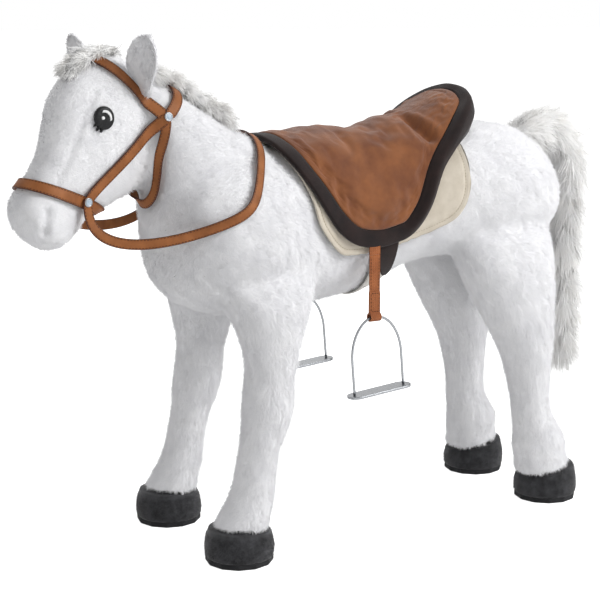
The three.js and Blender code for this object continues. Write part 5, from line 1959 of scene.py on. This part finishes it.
@dataclass
class Bridle:
    """Noseband, cheekpieces, browband, headpiece and throatlatch, with the rivets and the reins."""

    width: float = 17
    thickness: float = 2.6
    throat_width: float = 14
    lift: float = 1.2
    rivet_radius: float = 6.5
    rivet_height: float = 2.4
    rein_width: float = 15
    rein_thickness: float = 2.2
    rein_lift: float = 4.3
    rein_foot: float = 6.2
    upper_rivet: tuple[float, float] = (0.165, -0.31)
    lower_rivet: tuple[float, float] = (0.715, -0.14)
    rein_lead: float = 92
    rein_hang: tuple[float, float] = (66, 28)
    rivet_sides: int = 40
    rim_rows: int = 8
    rivet_profile: Rows = (
        (0.36, 0), (0.93, 0), (1, 0.3), (1, 0.55), (0.92, 0.86), (0.8, 0.98),
        (0.69, 0.9), (0.64, 0.72), (0.6, 0.7), (0.42, 0.82), (0.2, 0.88),
    )
    rein_shares: Rows = (
        (0, 0.1, 0.5, 1), (0.03, 0.1, 0.3, 1), (0.12, 0.12, 0.14, 0.95), (0.28, 0.13, 0.04, 0.8),
        (0.46, -0.12, 0, 0.62), (0.66, -0.24, 0, 0.45), (1, -0.36, 0, 0.25),
    )

    def fan(
        self, skin: Skin, centre: Array, first: Array, second: Array, sweep: float, count: int, width: float
    ) -> Pair:
        """A strap's seats where rays fan out from a centre.

        Args:
            skin: What the strap lies on.
            centre: The fan's centre, inside.
            first: The first direction.
            second: The direction that it turns towards.
            sweep: The whole turn in degrees.
            count: Number of rays.
            width: The strap's width.

        Returns:
            The seats and their outward directions.
        """
        across = unit(np.cross(first, second))
        level = np.cross(across, first)
        steps = count if sweep == 360 else count - 1
        seats = [
            skin.seat(centre, between(first, level, sweep * i / steps), across, width) for i in range(count)
        ]
        return apart(seats)

    def dress(
        self, name: str, course: Pair, width: float, level: tuple[float, float],
        finishes: Finishes, replaces: Sequence[str] = (), closed: bool = False,
    ) -> None:
        """Makes one bridle strap with its two rows of stitches.

        Args:
            name: The strap's name.
            course: Its seats and outward directions.
            width: Its width.
            level: Extra height at its first and at its last end, where it lies on other straps.
            finishes: The horse's finishes.
            replaces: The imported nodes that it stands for.
            closed: True for a ring.
        """
        points, outs = even_course(*course, 3.0, closed)
        way = way_along(points)
        raised = level[0] * np.exp(-((way / 15) ** 2)) + level[1] * np.exp(-(((way[-1] - way) / 15) ** 2))
        lift = self.lift + raised
        sides = [finishes.strap, finishes.strap_edge]
        strap = build_strap(name, points, outs, width, self.thickness, lift, sides, closed, round_ends=True)
        tie(strap, "horse", "brown_webbing", *replaces)
        _, edge = course_frame(points, outs, closed)
        top = points + outs * (lift + self.thickness)[:, None]
        inner = slice(None) if closed else slice(2, -2)
        lines = [((top + edge * way_out * (width / 2 - 2.2))[inner], outs[inner]) for way_out in (1, -1)]
        build_stitches(f"{name}_stitches", lines, finishes.strap_thread, "horse", "brown_webbing")
        log.info("%s: %.0f mm long", name, way[-1])

    def build(self, finishes: Finishes) -> None:
        """Makes every strap, the rivets and the reins."""
        centre = HEAD.place(0.74, -0.03)
        way = unit(HEAD.place(0.795, 0.26) - centre)
        ring = self.fan(HEAD_SKIN, centre, way, HEAD.side, 360, 72, self.width)
        self.dress("nose_strap", ring, self.width, (0, 0), finishes, ["noseband"], closed=True)
        centre = HEAD.place(*self.upper_rivet)
        for name, share, width, level in (
            ("throatlatch", (0.466, -0.614), self.throat_width, 0.0),
            ("browband", (0.12, 0.25), self.width, 1.0),
            ("headpiece", (-0.06, -0.36), self.width, 2.0),
        ):
            way = unit(HEAD.place(*share) - centre)
            arc = self.fan(UPPER_SKIN, centre, HEAD.side, way, 180, 54, width)
            self.dress(f"{name}_strap", arc, width, (level, level), finishes, [name])
        for name, side in SIDES.items():
            seats = self.cheek(side)
            self.dress(f"{name}_cheek_strap", seats, self.width, (2.2, 3.0), finishes, [f"{name}_cheekpiece"])
            self.build_rivet(f"{name}_upper_rivet", seats[0][-1], seats[1][-1], 6.8, finishes)
            point, out = self.rein_seat(side)
            top = self.rein_foot + self.rein_thickness + 0.35
            self.build_rivet(f"{name}_lower_rivet", point, out, top, finishes)
        self.build_reins(finishes)

    def cheek(self, side: int) -> Pair:
        """Seats of the cheekpiece, from the lower rivet to the upper one."""
        low, high = HEAD.place(*self.lower_rivet), HEAD.place(*self.upper_rivet)
        across = unit(np.cross(high - low, HEAD.side))
        seats = [
            UPPER_SKIN.seat(low + (high - low) * t, HEAD.side * side, across, self.width)
            for t in np.linspace(0, 1, 26)
        ]
        return apart(seats)

    def rein_seat(self, side: int) -> Pair:
        """Where the rein's end turns: on the skin under the lower rivet, and the turn's direction."""
        return HEAD_SKIN.exit(HEAD.place(*self.lower_rivet), HEAD.side * side), HEAD.side * side

    def build_rivet(self, node: str, point: Array, out: Array, height: float, finishes: Finishes) -> None:
        """Makes a rivet: a rolled nickel rim round a pale enamel middle, and its shank.

        Args:
            node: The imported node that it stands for.
            point: The skin under it.
            out: Its direction.
            height: Height of its foot over the skin.
            finishes: The horse's finishes.
        """
        radius, rise = self.rivet_radius, self.rivet_height
        profile = [(0.36, -height + 1.5), *self.rivet_profile]
        first = unit(np.cross(out, Z))
        second = np.cross(out, first)
        turn = circle(self.rivet_sides)
        rings = []
        for wide, up in profile:
            place = up if up < 0 else up * rise
            ring = np.outer(np.cos(turn), first) + np.outer(np.sin(turn), second)
            rings.append(point + out * (height + place) + ring * wide * radius)
        points = np.concatenate(rings)
        sides = self.rivet_sides
        faces = ring_faces(len(profile), sides, around=True)
        inside = [int(row >= self.rim_rows) for row in range(len(profile) - 1)]
        choice = [kind for kind in inside for _ in range(sides)] + [0, 1]
        turned = face_outwards(points, faces)
        kinds = [finishes.nickel, finishes.enamel]
        rivet = build_mesh(f"{node}_head", points, turned, kinds, np.array(choice))
        tie(rivet, "horse", "bright_steel", node)

    def rein_half(self, side: int) -> Pair:
        """The rein's course on one side, from the top of the neck to its rivet."""
        out = X * side
        points, outs = [], []
        for along, up, turn, width_turn in smoothed(self.rein_shares, 1):
            start = np.array([0, NECK.base_y - (2 + 108 * along), NECK.base_z + 84 + up * 120])
            across = between(Z, Y, width_turn * 90)
            point, way = BODY_SKIN.seat(start, between(out, Z, turn * 180), across, self.rein_width)
            points.append(point + way * self.rein_lift)
            outs.append(way)
        point, _ = self.rein_seat(side)
        end = point + HEAD.side * side * self.rein_foot
        foot = end - Z * self.rein_width / 2
        lead = unit(points[-1] - points[-2])
        hang = self.rein_hang[0] if side > 0 else self.rein_hang[1]
        a, b, c, d = points[-1], points[-1] + lead * self.rein_lead, foot - Z * hang, foot
        for t in np.linspace(0, 1, 28)[1:]:
            points.append((1 - t) ** 3 * a + 3 * (1 - t) ** 2 * t * b + 3 * (1 - t) * t**2 * c + t**3 * d)
            outs.append(unit(out * (1 - t) + HEAD.side * side * t))
        points.append(end + Z * (self.rein_width / 2))
        outs.append(HEAD.side * side)
        return np.array(points), np.array(outs)

    def build_reins(self, finishes: Finishes) -> None:
        """Makes the reins as one strap from rivet to rivet."""
        left, right = self.rein_half(1), self.rein_half(-1)
        points = np.concatenate([left[0][::-1], right[0][1:]])
        outs = np.concatenate([left[1][::-1], right[1][1:]])
        points, outs = even_course(points, outs, 3.0, passes=3)
        strap = build_strap(
            "rein_strap", points, outs, self.rein_width, self.rein_thickness, 0.0,
            [finishes.strap, finishes.strap_edge], round_ends=True,
        )
        tie(strap, "reins", "brown_webbing", "reins")
        _, edge = course_frame(points, outs, False)
        top = points + outs * self.rein_thickness
        lines = [((top + edge * way * (self.rein_width / 2 - 2))[3:-3], outs[3:-3]) for way in (1, -1)]
        build_stitches("rein_stitches", lines, finishes.strap_thread, "reins", "brown_webbing")
        log.info("rein_strap: %d stations", len(points))


@dataclass
class Eye:
    """An embroidered eye: a black satin oval with a white light and a white crescent.

    Lashes are rows of [angle, reach]. A patch's profile has rows of [share of the outline, share of the height].
    """

    side: str
    half_width: float = 14.6
    half_height: float = 15.8
    lashes: Rows = ((3.7, 4.6), (4.05, 5.6), (4.4, 4.4))
    patch_profile: Rows = (
        (1.0, -4.0), (1.0, 0.0), (0.96, 0.7), (0.8, 0.95), (0.6, 1.0), (0.4, 1.0), (0.2, 1.0),
    )

    def build(self, finishes: Finishes) -> None:
        """Makes the oval and its lights."""
        side = SIDES[self.side]
        out = between(HEAD.side * side, HEAD.forward, 12)
        centre = HEAD_SKIN.exit(HEAD.place(0.33, 0.05), out)
        rear = unit(-HEAD.forward - out * np.dot(-HEAD.forward, out))
        up = np.cross(out, rear) * side
        up = up if up[2] > 0 else -up
        turn = np.linspace(0, 2 * math.pi, 144, endpoint=False)
        oval = np.stack([np.cos(turn) * self.half_width, np.sin(turn) * self.half_height], 1)
        lash = np.zeros(144)
        for place, reach in self.lashes:
            lash += reach * np.exp(-(((turn - place) / 0.07) ** 2))
        oval = oval * (1 + lash / self.half_width)[:, None]
        self.patch(f"{self.side}_eye_oval", centre, (rear, up, out), oval, (0, 0), 1.8, finishes.black_thread,
                   f"{self.side}_eye")
        light = np.stack([np.cos(turn), np.sin(turn)], 1) * 2.5
        axes = (rear, up, out)
        self.patch(f"{self.side}_eye_light", centre, axes, light, (-3.2, 0.4), 3.1, finishes.white_thread)
        half = np.linspace(-0.25, 1.85, 32)
        outer = np.stack([np.cos(half) * 10.2, np.sin(half) * 11], 1)
        inner = np.stack([np.cos(half) * 9.0 - 1.8, np.sin(half) * 9.4 - 1.8], 1)[::-1]
        crescent = np.concatenate([outer, inner])
        self.patch(f"{self.side}_eye_crescent", centre, axes, crescent, (0, 0), 2.9, finishes.white_thread)
        log.info("%s eye", self.side)

    def patch(
        self, name: str, centre: Array, axes: tuple[Array, Array, Array], outline: Array,
        place: tuple[float, float], height: float, material: Material, *nodes: str,
    ) -> None:
        """Makes one embroidered patch that follows the head's skin.

        Args:
            name: The piece's name.
            centre: The eye's centre on the skin.
            axes: Directions to the rear, up and out.
            outline: The patch's outline, to the rear and up from its middle.
            place: The middle's place from the eye's centre.
            height: Height of its top over the skin.
            material: The thread.
            nodes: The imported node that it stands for, if any.
        """
        rear, up, out = axes
        outline = outline + np.array(place)
        middle = None if name.endswith("crescent") else outline.mean(0)
        rings = []
        for share, rise in self.patch_profile:
            if middle is None:
                count = len(outline) // 2
                spine = (outline[:count] + outline[count:][::-1]) / 2
                flat = np.concatenate([spine, spine[::-1]]) * (1 - share) + outline * share
            else:
                flat = middle + (outline - middle) * share
            ring = []
            for a, b in flat:
                start = centre + rear * a + up * b + out * 40
                hit = HEAD_SKIN.trees[0].ray_cast(Vector(start), Vector(-out))[0]
                base = np.array(hit) if hit is not None else centre + rear * a + up * b
                thread = 0.16 * math.sin(2 * math.pi * (a + 0.4 * b) / 1.5)
                ring.append(base + out * (rise if rise < 0 else rise * height + thread * rise))
            rings.append(ring)
        points, faces = Loft(np.array(rings)).mesh()
        patch = build_mesh(name, points, faces, [material])
        tie(patch, "horse", "eye_thread", *nodes)


@dataclass
class Stirrup:
    """One stirrup: bent wire and tread, its hanging strap and the tab that holds the strap."""

    side: str
    pivot_x: float = 109.472
    pivot_y: float = 27
    wire_z: float = 334.084
    hinge_z: float = 426.084
    tilt: float = 5
    wire: float = 2
    height: float = 116
    crown: float = 62
    span: float = 88
    tread_length: float = 110
    tread_width: float = 30
    tread_thickness: float = 4
    strap_width: float = 18
    loop: float = 38

    def turned(self, points: Array) -> Array:
        """Points of the stirrup at its tilt, in their place under the strap."""
        c, s = math.cos(math.radians(self.tilt)), math.sin(math.radians(self.tilt))
        x, y, z = points.T
        made = np.stack([x, y * c - z * s, y * s + z * c], 1)
        return made + np.array([SIDES[self.side] * self.pivot_x, self.pivot_y, self.wire_z])

    def build(self, finishes: Finishes) -> None:
        """Makes the wire and tread, and dresses the strap."""
        half = self.span / 2
        foot = self.tread_thickness + 0.35 - self.height
        turn = np.linspace(0, math.pi, 61)
        bow = np.stack([0 * turn, -half * np.cos(turn), self.crown * (np.sin(turn) - 1)], 1)
        leg = np.linspace(foot, -self.crown, 12)[:-1]
        left = np.stack([0 * leg, 0 * leg - half, leg], 1)
        path = np.concatenate([left, bow, left[::-1] * (1, -1, 1)])
        along = unit(np.gradient(path, axis=0))
        around = circle(14)
        flat = unit(np.cross(along, X))
        rings = path[:, None] + (
            X[None, None] * np.cos(around)[None, :, None] + flat[:, None] * np.sin(around)[None, :, None]
        ) * self.wire
        points, faces = Loft(rings).mesh()
        body = f"{self.side}_stirrup"
        arch = build_mesh(f"{self.side}_stirrup_wire", self.turned(points), faces, [finishes.nickel])
        tie(arch, body, "bright_steel", f"{self.side}_stirrup_arch")
        straight = (self.tread_length - self.tread_width) / 2
        rings_made = []
        for inset, up in ((4, 0), (0.8, 0), (0.2, 0.25), (0, 0.8), (0, 3.2), (0.2, 3.75), (0.8, 4), (1.6, 4)):
            radius = self.tread_width / 2 - inset
            angle = np.linspace(0, math.pi, 25)
            one = np.stack([np.cos(angle) * radius, straight + np.sin(angle) * radius, 0 * angle], 1)
            ring = np.concatenate([one, one * (-1, -1, 1)])
            rings_made.append(ring + Z * (up - self.height))
        points, faces = Loft(np.array(rings_made)).mesh()
        tread = build_mesh(f"{self.side}_tread_plate", self.turned(points), faces, [finishes.nickel])
        tie(tread, body, "bright_steel", f"{self.side}_stirrup_tread")
        dress_node(f"{self.side}_strap_tab", finishes.ribbed, 0.5)
        dress_node(f"{self.side}_stirrup_strap", finishes.ribbed, 0.5)
        self.build_stitching(finishes)
        log.info("%s stirrup", self.side)

    def build_stitching(self, finishes: Finishes) -> None:
        """Sews both edges of the hanging strap and crosses the doubled part."""
        side = SIDES[self.side]
        x = side * self.pivot_x
        doubled = self.wire_z + self.loop
        edge = self.strap_width / 2 - 2
        lines = []
        for face in (1, -1):
            out = X * face * side
            for y in (-edge, edge):
                single = (self.hinge_z - 3, doubled + 2, 1.1)
                double = (doubled - 2, self.wire_z + 9, 2.2)
                for top, bottom, depth in (single, double):
                    z = np.linspace(top, bottom, 20)
                    depths = np.full(20, depth * face * side)
                    row = np.stack([x + depths, self.pivot_y + y + 0 * z, z], 1)
                    lines.append((row, np.tile(out, (20, 1))))
            for z in (doubled - 2.2, self.wire_z + 8.5):
                y = np.linspace(-edge, edge, 12)
                row = np.stack([0 * y + x + 2.2 * face * side, self.pivot_y + y, 0 * y + z], 1)
                lines.append((row, np.tile(out, (12, 1))))
        build_stitches(f"{self.side}_strap_stitches", lines, finishes.strap_thread, f"{self.side}_strap",
                       "brown_webbing")


# ---------------------------------------------------------------- studio


@dataclass
class Studio:
    """A plain pale floor, soft lamps and the camera at the photograph's angle."""

    camera_place: tuple[float, float, float] = (2.050, -1.2835, 0.78)
    camera_turn: tuple[float, float] = (79.81, 58.67)
    lens: float = 96.1
    sensor: float = 36
    world_strength: float = 0.42
    floor_reach: float = 60.0

    def build(self) -> None:
        """Makes the floor, the lamps, the world and the camera."""
        scene = bpy.context.scene
        scene.view_settings.view_transform = "Standard"
        reach = self.floor_reach / METRE
        corners = np.array([(-1, -1, 0), (1, -1, 0), (1, 1, 0), (-1, 1, 0)]) * reach
        floor = build_mesh("floor", corners, [(0, 1, 2, 3)], [self.paper()])
        self.lamp("key", (2.6, 2.0, 2.6), 1.8, 112)
        self.lamp("fill", (1.2, -2.8, 1.7), 2.6, 6)
        self.lamp("back", (-2.4, 0.6, 2.8), 2.2, 30)
        self.world(scene)
        data = bpy.data.cameras.new("camera")
        data.lens, data.sensor_width = self.lens, self.sensor
        camera = bpy.data.objects.new("camera", data)
        camera.location = self.camera_place
        tilt, turn = (math.radians(angle) for angle in self.camera_turn)
        camera.rotation_euler = Euler([tilt, 0, turn])
        scene.collection.objects.link(camera)
        scene.camera = camera
        log.info("studio")

    @staticmethod
    def paper() -> Material:
        """White paper floor, matt. It is white where the camera, a mirror or glass sees it unshadowed."""
        material, tree = bare_material("white_paper")
        seen = Studio.seen_by(tree, "Is Camera Ray", "Is Glossy Ray")
        matt = add_node(tree, "ShaderNodeBsdfDiffuse", {"Color": linear("#f4f4f4")}).outputs["BSDF"]
        glow = add_node(tree, "ShaderNodeEmission", {"Color": WHITE, "Strength": 0.85})
        both = join(tree, "ShaderNodeAddShader", (matt, glow.outputs["Emission"]))
        mixed = join(tree, "ShaderNodeMixShader", (matt, both), 1, links={"Fac": seen})
        add_node(tree, "ShaderNodeOutputMaterial", links={"Surface": mixed})
        return material

    @staticmethod
    def seen_by(tree: NodeTree, *rays: str) -> Socket:
        """A socket that is 1 for any of these kinds of ray and 0 for all others."""
        paths = add_node(tree, "ShaderNodeLightPath")
        found = paths.outputs[rays[0]]
        for ray in rays[1:]:
            sockets = (found, paths.outputs[ray])
            found = join(tree, "ShaderNodeMath", sockets, settings={"operation": "MAXIMUM"})
        return found

    @staticmethod
    def lamp(name: str, place: tuple[float, float, float], size: float, watts: float) -> None:
        """Adds a soft lamp that looks at the horse's middle.

        Args:
            name: The lamp's name.
            place: Its place in metres.
            size: Its width in metres.
            watts: Its power.
        """
        data = bpy.data.lights.new(name, "AREA")
        data.shape, data.size, data.energy = "DISK", size, watts
        lamp = bpy.data.objects.new(name, data)
        lamp.location = place
        lamp.rotation_euler = (Vector((0, 0, 0.4)) - Vector(place)).to_track_quat("-Z", "Y").to_euler()
        bpy.context.scene.collection.objects.link(lamp)

    def world(self, scene: bpy.types.Scene) -> None:
        """Lights the scene evenly from all round, and shows white behind the floor."""
        world = bpy.data.worlds.new("studio")
        scene.world = world
        world.use_nodes = True
        tree = world.node_tree
        tree.nodes.clear()
        seen = self.seen_by(tree, "Is Camera Ray", "Is Glossy Ray", "Is Transmission Ray")
        skies = []
        for strength in (self.world_strength, 1.0):
            sky = add_node(tree, "ShaderNodeBackground", {"Color": WHITE, "Strength": strength})
            skies.append(sky.outputs["Background"])
        mixed = join(tree, "ShaderNodeMixShader", skies, 1, links={"Fac": seen})
        add_node(tree, "ShaderNodeOutputWorld", links={"Surface": mixed})


def fall_of_mane(points: Array) -> Array:
    """The mane's pile falls to both sides and back."""
    side = np.sign(points[:, :1] + 4 * waves(points, 20, 91)[:, None])
    return unit(side * 0.55 * X + 0.35 * Y - 0.35 * Z)


def fall_of_forelock(points: Array) -> Array:
    """The forelock's pile falls forward over the browband."""
    return np.tile(unit(HEAD.forward * 0.8 + HEAD.down * 0.5), (len(points), 1))


def fall_of_tail(points: Array) -> Array:
    """The tail's pile follows the tail: back from the dock, then down."""
    down = np.clip((600 - points[:, 2]) / 70, 0, 1)[:, None]
    return unit(Y * (1 - down) + (0.06 * Y - Z) * down)


def main() -> None:
    """Builds the horse piece by piece."""
    logging.basicConfig(level=logging.INFO, format="%(message)s")
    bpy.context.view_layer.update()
    Studio().build()
    finishes = Finishes()
    StuffedBody().build(finishes)
    for pair, side in CORNERS:
        Hoof(pair, side).build(finishes)
    for side in SIDES:
        Ear(side).build(finishes)
        Eye(side).build(finishes)
    straps = frame_tree(["browband", "headpiece", "left_ear", "right_ear"])
    for pile in (
        LongPile("mane", "horse", "long_pile", 12, 30, 13000, 0.72, fall_of_mane, seed=43),
        LongPile("forelock", "horse", "long_pile", 9, 22, 7000, 0.6, fall_of_forelock, seed=44),
        LongPile("tail_dock", "dock", "white_plush", 0, 46, 5200, 0.8, fall_of_tail, seed=45),
        LongPile("tail", "tail", "long_pile", 11, 54, 22000, 0.42, fall_of_tail, seed=46),
    ):
        pile.build(finishes, straps if pile.node in ("mane", "forelock") else None)
    Saddle().build(finishes)
    Bridle().build(finishes)
    for side in SIDES:
        Stirrup(side).build(finishes)
    for name in ("frame_spine_tube", "frame_front_hoop", "frame_hind_hoop"):
        dress_node(name, finishes.lacquer)


if __name__ == "__main__":
    main()
